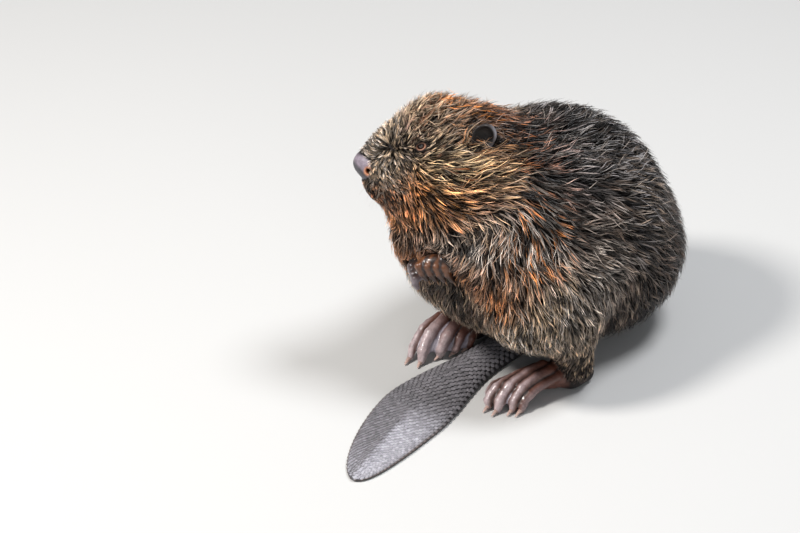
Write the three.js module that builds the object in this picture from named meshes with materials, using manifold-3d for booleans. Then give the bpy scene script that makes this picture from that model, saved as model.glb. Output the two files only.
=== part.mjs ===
// A European beaver sitting up on its rump with the tail laid forward between its hind feet and
// its hands held at the chest: a still display model at life size, solid out to the coat's tips.
// Millimetres, +Z up. The animal faces -Y, its left side is +X and the floor is z = 0.
import * as THREE from 'three';
import { mergeVertices } from 'three/addons/utils/BufferGeometryUtils.js';
import Module from 'manifold-3d';

const wasm = await Module();
wasm.setup();

// ---- driving dimensions -------------------------------------------------------------------

const GAP = 0.3;
const EVERYWHERE = 1000;

// Size of the facets: coarse on the trunk, finer where the form is small.
const FACET = { trunk: 30, thigh: 26, arm: 20, shank: 17, head: 14, tailBase: 16 };

// The head's own frame starts inside the brain case. Yaw turns it to the animal's right, pitch
// drops the nose and roll lifts the left cheek. Places on the head are forward, left, up.
const HEAD = { at: [-55, -79, 274], yaw: 46, pitch: 12, roll: 13 };

const EYE = { place: [27.5, 28.5, 21.5], radius: 6.5, lidRoom: [8.5, 15.5, 8.5], lidOut: 7 };

// The right ear is laid lower than the left one.
const EAR = {
  places: { left: [-43, 48, 23], right: [-43, -48, 15] },
  half: [15, 7.5, 16],
  wall: 2.6,
  opening: [1.5, 5, 0.5],
  yaw: 24,
  roll: -18,
};
const NOSE = { place: [92, 0, 4], half: [16.5, 17, 14.5] };
const NOSTRIL = { place: [92, 15.5, 0], half: [5.4, 4, 3.4], yaw: 70 };

// Room left round an ear and the nose pad, so that their coarser ovals clear them.
const CLEARANCE = 1.5;

// The mouth slit: a plane that tilts up towards the lips, and the angle of the jaw behind it.
const MOUTH = { place: [60, 0, -38], slope: [0.34, 0, 1], hinge: 8 };

// Cuts that part the body: a point on each plane and the way towards the head. The first two are
// on the head, behind the ears and under the chin.
const HEAD_ROOM = { place: [24, 0, -8], half: [116, 84, 84] };
const NAPE_CUT = { place: [-52, 0, 0], towards: [0.94, 0, 0.34] };
const THROAT_CUT = { place: [36, 0, -67], towards: [-0.07, 0, 1] };
const NECK_CUT = { place: [-33, -140, 212], towards: [-0.1, -0.476, 0.88] };
const WAIST_CUT = { place: [-20, -16, 165], towards: [0, -0.35, 0.94] };
const HIP_CUT = { place: [0, 70, 120], towards: [0, -0.55, 0.835] };
const TRUNK_ROOM = { low: [-180, -210, -20], high: [180, 240, 380] };

// The limbs, left and right. Each runs from its upper to its lower joint.
const ARMS = {
  left: { shoulder: [36, -74, 214], elbow: [40, -104, 172], wrist: [-2, -132, 178], inner: 4 },
  right: { shoulder: [-78, -86, 204], elbow: [-70, -112, 168], wrist: [-46, -131, 155], inner: -46 },
};
const ARM_RADII = { shoulder: [36, 32], elbow: [27, 24], forearm: [22, 20], wrist: [11, 10] };
const THIGHS = {
  left: { place: [68, -44, 128], half: [82, 50, 66], turn: { yaw: 6 }, inner: 24 },
  right: { place: [-80, -30, 124], half: [78, 48, 64], turn: { yaw: -8 }, inner: -42 },
};
const SHANKS = {
  left: { knee: [78, -34, 92], ankle: [88, -26, 34], cut: [84, -42, 40], heelwards: [-0.2, 0.5, 0.84] },
  right: { knee: [-66, -34, 84], ankle: [-62, -30, 40], cut: [-62, -48, 46], heelwards: [0, 0.5, 0.87] },
};
const SHANK_TOP = 84;

// Radii of the oval sleeves that take each limb from the trunk, how far past the elbow a forearm
// starts, how far past its coat a thigh reaches, and the room that takes the tail's base.
const SLEEVES = { upperArm: 48, forearm: 29, shank: 44, ends: 0.9 };
const FOREARM_START = 8;
const THIGH_MARGIN = 5;
const TAIL_BASE = { place: [-15, 6, 8], half: [50, 40, 34], back: 38 };

// The sole of each hind foot from the heel forward, then its digits from the inner to the outer
// one: base, knuckle, the place of the claw's tip on the floor, and radius.
const HIND_FEET = {
  left: {
    sole: [[89, -12, 11.6], [85, -28, 16], [74, -52, 19], [64, -76, 14]],
    soleRadii: [13, 16.5, 13.5, 8],
    digits: [
      { base: [54, -64, 20], knuckle: [39, -104, 16], tip: [37, -120], radius: 5.2 },
      { base: [60, -60, 27], knuckle: [47, -109, 19], tip: [51, -138], radius: 6 },
      { base: [67, -56, 31], knuckle: [58, -101, 22], tip: [63, -137], radius: 6.8 },
      { base: [78, -56, 30], knuckle: [71, -94, 22], tip: [75, -125], radius: 6.2 },
      { base: [86, -54, 24], knuckle: [79, -90, 16], tip: [83, -120], radius: 5.8 },
    ],
  },
  right: {
    sole: [[-62, -8, 11.6], [-62, -28, 17], [-63, -46, 20], [-64, -64, 15]],
    soleRadii: [13, 18, 17, 9],
    digits: [
      { base: [-50, -38, 22], knuckle: [-45, -51, 14], tip: [-47, -66], radius: 4.6 },
      { base: [-56, -42, 31], knuckle: [-50, -66, 19], tip: [-51, -83], radius: 5.4 },
      { base: [-64, -44, 36], knuckle: [-58, -78, 24], tip: [-58, -100], radius: 6.4 },
      { base: [-74, -44, 36], knuckle: [-74, -88, 27], tip: [-62, -124], radius: 6.8 },
      { base: [-82, -44, 31], knuckle: [-88, -84, 25], tip: [-77, -129], radius: 5.4 },
    ],
  },
};
const HIND_CLAW = { length: 14, radius: 3.1, arch: 0.8, tipHeight: 1.4 };
const WEB = { thickness: 1.8, from: 0.3, reach: 0.9, scallop: 0.14, sag: 3, lowest: 1.2 };

// Each hand: a row of curled fingers from the inner one outwards, and where they curl to.
const HANDS = {
  left: {
    palm: [-17, -143, 174],
    yaw: -37,
    first: [-27, -160, 172],
    step: [7.6, 5.7, 0],
    curl: [5, 8, -19],
  },
  right: {
    palm: [-42, -141.5, 152.5],
    yaw: 37,
    first: [-34, -158, 151],
    step: [-7, 5.4, 0],
    curl: [-4, 8, -17],
  },
};
const FINGER = { radius: 4.2, back: 11, palmHalf: [9, 16, 8.5], bulge: 1.5, clawLength: 9, clawRadius: 1.9 };
const HAND_ROOM = { size: [42, 52, 42], back: 6 };

// The tail paddle lies flat on the floor. It runs from its root at y = start forward to its tip.
const TAIL = {
  start: -22,
  tip: -328,
  rootX: -16,
  tipBend: 47,
  rootHalf: 24,
  maxHalf: 44,
  rootHeight: 19,
  tipHeight: 4.5,
  edge: 2.4,
};

// Depth of coat over the thighs and upper arms, and over the shanks and forearms.
const THIGH_COAT = 9;
const LIMB_COAT = 6;

const COLOURS = {
  coat: '#4a3626',
  darkCoat: '#33271f',
  face: '#6b4a2c',
  nose: '#6f6470',
  bareSkin: '#6d5451',
  scale: '#5d5a62',
  claw: '#b99c8c',
  eye: '#0b0807',
};

// ---- directions and frames ----------------------------------------------------------------

const vec = (a) => new THREE.Vector3(a[0], a[1], a[2]);

// Turned axes, as the columns forward, left and up of a matrix that starts facing -Y.
function turned({ yaw = 0, pitch = 0, roll = 0 }) {
  const [y, p, r] = [yaw, pitch, roll].map(THREE.MathUtils.degToRad);
  const ahead = new THREE.Vector3(-Math.sin(y), -Math.cos(y), 0);
  const side = new THREE.Vector3(Math.cos(y), -Math.sin(y), 0);
  const up = new THREE.Vector3(0, 0, 1);
  const forward = ahead.clone().multiplyScalar(Math.cos(p)).addScaledVector(up, -Math.sin(p));
  const top = ahead.clone().multiplyScalar(Math.sin(p)).addScaledVector(up, Math.cos(p));
  const left = side.clone().multiplyScalar(Math.cos(r)).addScaledVector(top, Math.sin(r));
  const crown = top.clone().multiplyScalar(Math.cos(r)).addScaledVector(side, -Math.sin(r));
  return new THREE.Matrix4().makeBasis(forward, left, crown);
}

const bodyFrame = turned({});
const headFrame = turned(HEAD).setPosition(vec(HEAD.at));
const onHead = (place) => vec(place).applyMatrix4(headFrame);
const alongHead = (direction) => vec(direction).transformDirection(headFrame);
const mirrored = (place, side) => [place[0], side * place[1], place[2]];

// A frame at a place, turned in its own right and then with the head if it belongs to it.
function frameAt(place, turn = {}, onTheHead = false) {
  const own = bodyFrame.clone().invert().multiply(turned(turn));
  if (!onTheHead) {
    return turned(turn).setPosition(vec(place));
  }
  return turned(HEAD).multiply(own).setPosition(onHead(place));
}

// ---- flesh: rounded masses that melt into one another, each with its depth of coat -----------

// An ellipsoid. Its half sizes run forward, left and up, so along Y, X and Z where it isn't turned.
function mass(place, half, coat, turn = {}, onTheHead = false) {
  const toLocal = frameAt(place, turn, onTheHead).invert();
  const grown = half.map((h) => h + coat);
  const p = new THREE.Vector3();
  return (point) => {
    p.copy(point).applyMatrix4(toLocal);
    const near = Math.hypot(p.x / grown[0], p.y / grown[1], p.z / grown[2]);
    const far = Math.hypot(p.x / grown[0] ** 2, p.y / grown[1] ** 2, p.z / grown[2] ** 2);
    return (near * (near - 1)) / Math.max(far, 1e-9);
  };
}

const headMass = (place, half, coat, turn) => mass(place, half, coat, turn, true);

// A limb that tapers from one place to another.
function limb(from, to, fromRadius, toRadius, coat) {
  const start = vec(from);
  const along = vec(to).sub(start);
  const offset = new THREE.Vector3();
  return (point) => {
    offset.copy(point).sub(start);
    const t = THREE.MathUtils.clamp(offset.dot(along) / along.lengthSq(), 0, 1);
    const radius = THREE.MathUtils.lerp(fromRadius, toRadius, t) + coat;
    return offset.addScaledVector(along, -t).length() - radius;
  };
}

const sides = ['left', 'right'];
const pair = (make) => [make(1), make(-1)];

// Each group melts together over `soft` millimetres, and over `join` into the groups before it.
const FLESH = [
  {
    name: 'head',
    soft: 16,
    join: 0,
    masses: [
      headMass([-20, 0, -12], [46, 43, 40], 9), // brain case
      headMass([12, 0, 18], [38, 31, 39], 9), // forehead
      ...pair((side) => headMass([-12, side * 26, -18], [42, 28, 36], 7)), // cheeks
      ...pair((side) => headMass([27, side * 22, 20], [16, 11, 12], 2)), // eye sockets
      headMass([46, 0, 12], [38, 25, 30], 7, { pitch: 17 }), // bridge of the nose
      headMass([68, 0, -8], [32, 24, 32], 4), // muzzle
      ...pair((side) => headMass([70, side * 13, -20], [26, 16, 24], 3)), // whisker pads
      headMass([42, 0, -44], [38, 24, 20], 8), // lower jaw
      headMass([-6, 0, -38], [44, 38, 30], 8), // throat
    ],
  },
  {
    name: 'neck',
    soft: 1,
    join: 34,
    masses: [limb(onHead([-24, -4, -18]).toArray(), [-24, -30, 208], 46, 86, 10)],
  },
  {
    name: 'trunk',
    soft: 40,
    join: 40,
    masses: [
      mass([-34, -62, 200], [70, 70, 80], 10, { yaw: 20 }), // chest
      mass([-16, -2, 182], [96, 102, 94], 11), // ribs
      mass([-6, 62, 149], [104, 112, 118], 11), // loins
      mass([3, 92, 92], [108, 104, 92], 10), // rump
      mass([-14, -34, 116], [80, 80, 66], 8), // belly
    ],
  },
  {
    name: 'thighs',
    soft: 20,
    join: 30,
    masses: [
      mass(THIGHS.left.place, THIGHS.left.half, THIGH_COAT, THIGHS.left.turn),
      mass(THIGHS.right.place, THIGHS.right.half, THIGH_COAT, THIGHS.right.turn),
    ],
  },
  {
    name: 'shanks',
    soft: 14,
    join: 20,
    masses: [
      limb(SHANKS.left.knee, SHANKS.left.ankle, 38, 19, LIMB_COAT),
      limb(SHANKS.right.knee, SHANKS.right.ankle, 36, 20, LIMB_COAT),
    ],
  },
  {
    name: 'arms',
    soft: 16,
    join: 24,
    masses: [
      ...Object.values(ARMS).flatMap(({ shoulder, elbow, wrist }, n) => [
        limb(shoulder, elbow, ARM_RADII.shoulder[n], ARM_RADII.elbow[n], THIGH_COAT),
        limb(elbow, wrist, ARM_RADII.forearm[n], ARM_RADII.wrist[n], LIMB_COAT),
      ]),
    ],
  },
  {
    name: 'tail root',
    soft: 1,
    join: 16,
    masses: [limb([-14, 60, 26], [-16, -24, 7], 27, 17, 4)],
  },
];

function smoothMin(a, b, blend) {
  if (!Number.isFinite(a)) {
    return b;
  }
  const h = Math.max(blend - Math.abs(a - b), 0) / Math.max(blend, 1e-6);
  return Math.min(a, b) - (h * h * blend) / 4;
}

// Signed distance, near enough, from a point to the coated body: below zero inside it.
function coatedBody(point) {
  return FLESH.reduce((body, group) => {
    const one = group.masses.reduce((d, m) => smoothMin(d, m(point), group.soft), Infinity);
    return smoothMin(body, one, group.join);
  }, Infinity);
}

// ---- facets -----------------------------------------------------------------------------------

const CORNERS = [0, 1, 2, 3, 4, 5, 6, 7].map((n) => [n & 1, (n >> 1) & 1, (n >> 2) & 1]);
const EDGES = [];
CORNERS.forEach((a, i) => {
  CORNERS.forEach((b, j) => {
    const steps = Math.abs(a[0] - b[0]) + Math.abs(a[1] - b[1]) + Math.abs(a[2] - b[2]);
    if (i < j && steps === 1) {
      EDGES.push([i, j]);
    }
  });
});

// The four edges of each face of a cell, so that crossings on a face can be paired.
const FACES = [0, 1, 2].flatMap((axis) => [0, 1].map((end) => {
  const onFace = (n) => CORNERS[n][axis] === end;
  return EDGES.map((_, e) => e).filter((e) => EDGES[e].every(onFace));
}));

// The crossed edges of a cell, gathered into the separate sheets of surface that pass through it.
function sheetsThrough(corner) {
  const sheetOf = EDGES.map(([a, b], e) => (corner[a] < 0 !== corner[b] < 0 ? e : -1));
  const merge = (from, to) => sheetOf.forEach((sheet, e) => {
    if (sheet === from) {
      sheetOf[e] = to;
    }
  });
  FACES.forEach((face) => {
    const crossed = face.filter((e) => sheetOf[e] >= 0);
    if (crossed.length === 2) {
      merge(sheetOf[crossed[0]], sheetOf[crossed[1]]);
    }
    if (crossed.length === 4) {
      const insiders = [...new Set(crossed.flatMap((e) => EDGES[e]))].filter((n) => corner[n] < 0);
      insiders.forEach((n) => {
        const [e, f] = crossed.filter((edge) => EDGES[edge].includes(n));
        merge(sheetOf[e], sheetOf[f]);
      });
    }
  });
  return sheetOf;
}

// A closed faceted surface round the inside of a distance function. The box's border counts as
// outside, so what reaches the border is closed there. Each sheet of surface in a cell gets one
// vertex, drawn onto the surface, and each crossed grid edge gets one quad.
function faceted(distance, low, high, cell) {
  const count = low.map((l, axis) => Math.ceil((high[axis] - l) / cell) + 1);
  const index = (i, j, k) => i + count[0] * (j + count[1] * k);
  const place = (i, j, k) => new THREE.Vector3(low[0] + i * cell, low[1] + j * cell, low[2] + k * cell);
  const eachCell = (short, visit) => {
    for (let k = 0; k < count[2] - short; k += 1) {
      for (let j = 0; j < count[1] - short; j += 1) {
        for (let i = 0; i < count[0] - short; i += 1) {
          visit(i, j, k);
        }
      }
    }
  };
  const values = new Float64Array(count[0] * count[1] * count[2]);
  eachCell(0, (i, j, k) => {
    const onBorder = [i, j, k].some((n, axis) => n === 0 || n === count[axis] - 1);
    values[index(i, j, k)] = onBorder ? cell : distance(place(i, j, k));
  });

  const vertices = [];
  const vertexOf = new Map();
  eachCell(1, (i, j, k) => {
    const corner = CORNERS.map(([x, y, z]) => values[index(i + x, j + y, k + z)]);
    const sheetOf = sheetsThrough(corner);
    const nearBorder = [i, j, k].some((n, axis) => n === 0 || n === count[axis] - 2);
    [...new Set(sheetOf)].filter((sheet) => sheet >= 0).forEach((sheet) => {
      const middle = new THREE.Vector3();
      const crossed = EDGES.map((_, e) => e).filter((e) => sheetOf[e] === sheet);
      crossed.forEach((e) => {
        const [a, b] = EDGES[e];
        const t = corner[a] / (corner[a] - corner[b]);
        middle.addScaledVector(vec(CORNERS[a]).lerp(vec(CORNERS[b]), t), 1 / crossed.length);
        vertexOf.set(index(i, j, k) * EDGES.length + e, vertices.length);
      });
      const vertex = place(i, j, k).addScaledVector(middle, cell);
      vertices.push(nearBorder ? vertex : ontoSurface(distance, vertex, cell / 3));
    });
  });

  const triangles = [];
  const addQuad = (a, b, c, d) => {
    const short = vertices[a].distanceTo(vertices[c]) < vertices[b].distanceTo(vertices[d]);
    triangles.push(...(short ? [a, b, c, a, c, d] : [a, b, d, b, c, d]));
  };
  const edgeAt = (from, axis) => {
    const to = from.map((n, m) => (m === axis ? 1 : n));
    return EDGES.findIndex(([a, b]) => `${CORNERS[a]}` === `${from}` && `${CORNERS[b]}` === `${to}`);
  };
  eachCell(1, (i, j, k) => {
    [0, 1, 2].forEach((axis) => {
      const next = [i, j, k].map((n, m) => (m === axis ? n + 1 : n));
      const inside = values[index(i, j, k)] < 0;
      if (inside === values[index(...next)] < 0) {
        return;
      }
      const [u, v] = [(axis + 1) % 3, (axis + 2) % 3];
      const around = [[1, 1], [0, 1], [0, 0], [1, 0]].map(([a, b]) => {
        const back = [0, 0, 0];
        back[u] = a;
        back[v] = b;
        const cellIndex = index(i - back[0], j - back[1], k - back[2]);
        return vertexOf.get(cellIndex * EDGES.length + edgeAt(back, axis));
      });
      addQuad(...(inside ? around : around.reverse()));
    });
  });
  const geometry = new THREE.BufferGeometry();
  const positions = vertices.flatMap((p) => p.toArray());
  geometry.setAttribute('position', new THREE.Float32BufferAttribute(positions, 3));
  geometry.setIndex(triangles);
  return geometry;
}

// Moves a point down the slope of a distance function until it lies on its surface, by at most
// `most` millimetres.
function ontoSurface(distance, point, most) {
  const start = point.clone();
  const probe = 0.5;
  for (let round = 0; round < 3; round += 1) {
    const here = distance(point);
    const slope = new THREE.Vector3(
      distance(point.clone().setX(point.x + probe)) - here,
      distance(point.clone().setY(point.y + probe)) - here,
      distance(point.clone().setZ(point.z + probe)) - here,
    ).divideScalar(probe);
    point.addScaledVector(slope, -here / Math.max(slope.lengthSq(), 0.1));
  }
  const moved = point.clone().sub(start).clampLength(0, most);
  return start.add(moved);
}

// ---- solids -----------------------------------------------------------------------------------

function solid(geometry) {
  const bare = geometry.clone();
  bare.deleteAttribute('normal');
  bare.deleteAttribute('uv');
  const merged = mergeVertices(bare, 1e-4);
  return new wasm.Manifold(new wasm.Mesh({
    numProp: 3,
    vertProperties: new Float32Array(merged.attributes.position.array),
    triVerts: new Uint32Array(merged.index.array),
  }));
}

const joined = (solids) => solids.reduce((all, one) => all.add(one));
const without = (whole, others) => others.reduce((left, other) => left.subtract(other), whole);

// The part of a solid that lies ahead of a plane, at least half a gap from it.
function ahead(whole, place, direction) {
  const normal = vec(direction).normalize();
  return whole.trimByPlane(normal.toArray(), normal.dot(vec(place)) + GAP / 2);
}

const behind = (whole, place, direction) => ahead(whole, place, direction.map((d) => -d));
const aboveFloor = (whole) => whole.trimByPlane([0, 0, 1], 0);

// The largest body of a solid, without the crumbs that a cut can leave.
function largest(whole) {
  const bodies = whole.decompose();
  return bodies.reduce((best, body) => (body.volume() > best.volume() ? body : best));
}

// An ellipsoid in 80 facets, or 180 or 320 at detail 2 and 3, `grow` millimetres larger all round.
function oval(place, half, turn = {}, onTheHead = false, grow = 0, detail = 1) {
  const geometry = new THREE.IcosahedronGeometry(1, detail);
  geometry.scale(half[0] + grow, half[1] + grow, half[2] + grow);
  geometry.applyMatrix4(frameAt(place, turn, onTheHead));
  return solid(geometry);
}

// A closed body skinned over rings of equally many points, each end closed round its middle.
function lofted(rings) {
  const sides = rings[0].length;
  const points = rings.flat();
  const triangles = [];
  for (let r = 0; r < rings.length - 1; r += 1) {
    for (let s = 0; s < sides; s += 1) {
      const a = r * sides + s;
      const b = r * sides + ((s + 1) % sides);
      triangles.push(a, b, b + sides, a, b + sides, a + sides);
    }
  }
  [rings[0], rings[rings.length - 1]].forEach((ring, end) => {
    const middle = ring.reduce((sum, p) => sum.add(p), new THREE.Vector3()).divideScalar(sides);
    const first = end * (rings.length - 1) * sides;
    points.push(middle);
    for (let s = 0; s < sides; s += 1) {
      const [a, b] = [first + s, first + ((s + 1) % sides)];
      triangles.push(...(end ? [a, b, points.length - 1] : [b, a, points.length - 1]));
    }
  });
  const geometry = new THREE.BufferGeometry();
  const positions = points.flatMap((p) => p.toArray());
  geometry.setAttribute('position', new THREE.Float32BufferAttribute(positions, 3));
  geometry.setIndex(triangles);
  const body = solid(geometry);
  if (body.volume() > 0) {
    return body;
  }
  geometry.setIndex(triangles.reverse());
  return solid(geometry);
}

// A round bar along a smooth path through some places, with a radius for each.
function bar(places, radii, sides, steps, grow = 0) {
  const path = new THREE.CatmullRomCurve3(places.map(vec), false, 'centripetal');
  const rings = [];
  for (let i = 0; i <= steps; i += 1) {
    const t = i / steps;
    const along = path.getTangent(t);
    const across = new THREE.Vector3(0, 0, 1).cross(along).normalize();
    const over = along.clone().cross(across);
    const at = t * (radii.length - 1);
    const from = Math.min(Math.floor(at), radii.length - 2);
    const radius = THREE.MathUtils.lerp(radii[from], radii[from + 1], at - from) + grow;
    const ring = [];
    for (let s = 0; s < sides; s += 1) {
      const angle = (2 * Math.PI * s) / sides;
      const offset = across.clone().multiplyScalar(Math.cos(angle)).addScaledVector(over, Math.sin(angle));
      ring.push(path.getPoint(t).addScaledVector(offset, radius));
    }
    rings.push(ring);
  }
  return lofted(rings);
}

// ---- regions of the body, each cut with a margin that leaves the gap -----------------------------

// The yaw and pitch that face along a direction.
function facing(from, to) {
  const d = vec(to).sub(vec(from)).normalize();
  const yaw = THREE.MathUtils.radToDeg(Math.atan2(-d.x, -d.y));
  return { yaw, pitch: THREE.MathUtils.radToDeg(Math.asin(-d.z)) };
}

// An oval sleeve round a limb from one joint to the next.
function sleeve(from, to, radius, grow) {
  const middle = vec(from).lerp(vec(to), 0.5).toArray();
  const half = vec(from).distanceTo(vec(to)) / 2 + radius * SLEEVES.ends;
  return oval(middle, [half, radius, radius], facing(from, to), false, grow);
}

// Keeps what lies outwards of x = inner, to the left or the right.
function outwardOf(whole, inner, grow) {
  const side = Math.sign(inner);
  return whole.trimByPlane([side, 0, 0], side * inner - grow);
}

function headRegion(grow) {
  const space = oval(HEAD_ROOM.place, HEAD_ROOM.half, {}, true);
  return [NAPE_CUT, THROAT_CUT].reduce((region, cut) => {
    const normal = alongHead(cut.towards);
    return region.trimByPlane(normal.toArray(), normal.dot(onHead(cut.place)) - grow);
  }, space);
}

function jawRegion(grow) {
  const space = solid(new THREE.BoxGeometry(EVERYWHERE, EVERYWHERE, EVERYWHERE));
  const floor = alongHead(MOUTH.slope.map((d) => -d));
  const front = alongHead([1, 0, 0]);
  return space
    .trimByPlane(floor.toArray(), floor.dot(onHead(MOUTH.place)) - grow)
    .trimByPlane(front.toArray(), front.dot(onHead([MOUTH.hinge, 0, 0])) - grow);
}

const forearmRegion = (arm, grow) => sleeve(arm.elbow, arm.wrist, SLEEVES.forearm, grow)
  .trimByPlane(...planeAt(arm.elbow, arm.wrist, FOREARM_START - grow));

function upperArmRegion(arm, grow) {
  return outwardOf(sleeve(arm.shoulder, arm.elbow, SLEEVES.upperArm, grow), arm.inner, grow);
}

function thighRegion(thigh, grow) {
  const half = thigh.half.map((h) => h + THIGH_COAT + THIGH_MARGIN);
  return outwardOf(oval(thigh.place, half, thigh.turn, false, grow), thigh.inner, grow);
}

const shankRegion = (shank, grow) => sleeve(shank.knee, shank.ankle, SLEEVES.shank, grow)
  .trimByPlane([0, 0, -1], -SHANK_TOP - grow);

const tailBaseRegion = (grow) => oval(TAIL_BASE.place, TAIL_BASE.half, {}, false, grow)
  .trimByPlane([0, -1, 0], -TAIL_BASE.back - grow);

// A plane square to the way from one place to another, so far past the first: normal and offset.
function planeAt(from, to, past) {
  const normal = vec(to).sub(vec(from)).normalize();
  return [normal.toArray(), normal.dot(vec(from)) + past];
}

// The coated body inside a region, in facets of a given size.
function fleshIn(region, cell) {
  const { min, max } = region.boundingBox();
  const low = min.map((v) => v - 1.5 * cell);
  const high = max.map((v) => v + 1.5 * cell);
  return solid(faceted(coatedBody, low, high, cell)).intersect(region);
}

// ---- hands, feet, claws and tail ------------------------------------------------------------------

// A pointed claw from a digit's end towards its tip, arched upwards a little.
function claw(end, tip, radius, arch, grow) {
  const along = vec(tip).sub(vec(end)).normalize();
  const start = vec(end).addScaledVector(along, GAP - grow);
  const point = vec(tip).addScaledVector(along, grow);
  const middle = start.clone().lerp(point, 0.5);
  middle.z += arch;
  const places = [start, middle, point].map((p) => p.toArray());
  return bar(places, [radius, radius * 0.72, radius * 0.25], 5, 2, grow);
}

// A digit of a hind foot ends low, where its claw starts, a claw's length before the tip.
function hindDigitPath(digit) {
  const tip = [...digit.tip, HIND_CLAW.tipHeight];
  const back = vec(digit.knuckle).sub(vec(tip)).normalize();
  const end = vec(tip).addScaledVector(back, HIND_CLAW.length);
  end.z = HIND_CLAW.radius;
  return { end: end.toArray(), tip };
}

function hindDigit(digit) {
  const { base, knuckle, radius } = digit;
  const { end } = hindDigitPath(digit);
  const radii = [1, 0.95, 0.95, 1, 0.9, 0.6].map((r) => r * radius);
  return bar([base, knuckle, end], radii, 6, 5);
}

function hindClaw(digit, grow) {
  const { end, tip } = hindDigitPath(digit);
  return aboveFloor(claw(end, tip, HIND_CLAW.radius, HIND_CLAW.arch, grow));
}

// The skin between two digits, slung between their middles and scalloped at its free edge.
function web(digit, next) {
  const [a, b] = [digit, next].map((d) =>
    new THREE.CatmullRomCurve3([d.base, d.knuckle, hindDigitPath(d).end].map(vec), false, 'centripetal'));
  const across = 2;
  const along = 3;
  const rings = [];
  for (let i = 0; i <= along; i += 1) {
    const top = [];
    const bottom = [];
    for (let j = 0; j <= across; j += 1) {
      const v = j / across;
      const reach = WEB.reach - WEB.scallop * 4 * v * (1 - v);
      const u = WEB.from + ((reach - WEB.from) * i) / along;
      const middle = a.getPoint(u).lerp(b.getPoint(u), v);
      middle.z = Math.max(middle.z - WEB.sag, WEB.lowest);
      top.push(middle.clone().setZ(middle.z + WEB.thickness / 2));
      bottom.push(middle.clone().setZ(middle.z - WEB.thickness / 2));
    }
    rings.push([...top, ...bottom.reverse()]);
  }
  return lofted(rings);
}

function hindFoot(foot) {
  const { sole, soleRadii, digits } = foot;
  const webs = digits.slice(1).map((digit, n) => web(digits[n], digit));
  const flesh = joined([bar(sole, soleRadii, 9, 4), ...digits.map(hindDigit), ...webs]);
  return aboveFloor(without(flesh, digits.map((digit) => hindClaw(digit, GAP))));
}

// The knuckle and tip of one finger of a hand, 0 being the inner one.
function fingerPlaces(hand, n) {
  const knuckle = vec(hand.first).addScaledVector(vec(hand.step), n);
  const tip = knuckle.clone().add(vec(hand.curl));
  return { knuckle, tip };
}

function handClaw(side, n, grow) {
  const { tip } = fingerPlaces(HANDS[side], n);
  const point = tip.clone().addScaledVector(vec(HANDS[side].curl).normalize(), FINGER.clawLength);
  return claw(tip.toArray(), point.toArray(), FINGER.clawRadius, 0, grow);
}

function hand(side, grow) {
  const one = HANDS[side];
  const palm = oval(one.palm, FINGER.palmHalf, { yaw: one.yaw }, false, grow);
  const inwards = vec(one.palm).sub(vec(one.first).addScaledVector(vec(one.step), 1.5)).normalize();
  const fingers = [0, 1, 2, 3].map((n) => {
    const { knuckle, tip } = fingerPlaces(one, n);
    const base = knuckle.clone().addScaledVector(inwards, FINGER.back);
    const bend = knuckle.clone().lerp(tip, 0.45).addScaledVector(inwards, -FINGER.bulge);
    const radii = [1, 1, 1, 0.85, 0.6].map((r) => r * FINGER.radius);
    return bar([base, knuckle, bend, tip].map((p) => p.toArray()), radii, 5, 3, grow);
  });
  return joined([palm, ...fingers]);
}

// The room that a hand and its claws take from the flesh round them: a box round its fingers.
function handRoom(side) {
  const { first, step, curl, yaw } = HANDS[side];
  const middle = vec(first).addScaledVector(vec(step), 1.5).addScaledVector(vec(curl), 0.45);
  const frame = frameAt(middle.toArray(), { yaw });
  const geometry = new THREE.BoxGeometry(...HAND_ROOM.size).translate(-HAND_ROOM.back, 0, 0);
  return solid(geometry.applyMatrix4(frame));
}

// Half width, middle and height of the tail paddle, from s = 0 at its root to 1 at its tip.
function paddleAt(s) {
  const widening = TAIL.rootHalf + (TAIL.maxHalf - TAIL.rootHalf) * THREE.MathUtils.smoothstep(s, 0.1, 0.55);
  const closing = Math.max((s - 0.55) / 0.45, 0);
  return {
    half: widening * Math.sqrt(1 - 0.995 * closing ** 1.5),
    x: TAIL.rootX + TAIL.tipBend * Math.max((s - 0.2) / 0.8, 0) ** 1.8,
    height: THREE.MathUtils.lerp(TAIL.rootHeight, TAIL.tipHeight, Math.min(s * 1.25, 1) ** 0.8),
  };
}

// Low and nearly flat beneath, arched above, with a blunt rim.
function tailPaddle(grow = 0) {
  const rings = [];
  const steps = 16;
  const sides = 12;
  for (let i = 0; i <= steps; i += 1) {
    const s = Math.sin((Math.PI / 2) * (i / steps)) ** 1.15;
    const { half, x, height } = paddleAt(s);
    const y = THREE.MathUtils.lerp(TAIL.start + grow, TAIL.tip, s);
    const ring = [];
    for (let n = 0; n < sides; n += 1) {
      const angle = (2 * Math.PI * n) / sides;
      const out = Math.cos(angle);
      const up = Math.sin(angle);
      const top = TAIL.edge + (height - TAIL.edge) * Math.abs(up) ** 1.3;
      const z = up >= 0 ? top : TAIL.edge * 0.5 * (1 - Math.min(Math.abs(up) * 2, 1));
      ring.push(new THREE.Vector3(x + (half + grow) * out, y, z + grow * Math.sign(up)));
    }
    rings.push(ring);
  }
  return lofted(rings);
}

// ---- head -----------------------------------------------------------------------------------------

const placeOnSide = (place, side) => mirrored(place, side === 'left' ? 1 : -1);
const earTurns = {
  left: { yaw: -EAR.yaw, roll: EAR.roll },
  right: { yaw: EAR.yaw, roll: -EAR.roll },
};

function nose(grow, detail) {
  return oval(NOSE.place, NOSE.half, {}, true, grow, detail);
}

function ear(side, grow, detail) {
  return oval(EAR.places[side], EAR.half, earTurns[side], true, grow, detail);
}

const eyeball = (side) => oval(placeOnSide(EYE.place, side), Array(3).fill(EYE.radius), {}, true);

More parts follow.
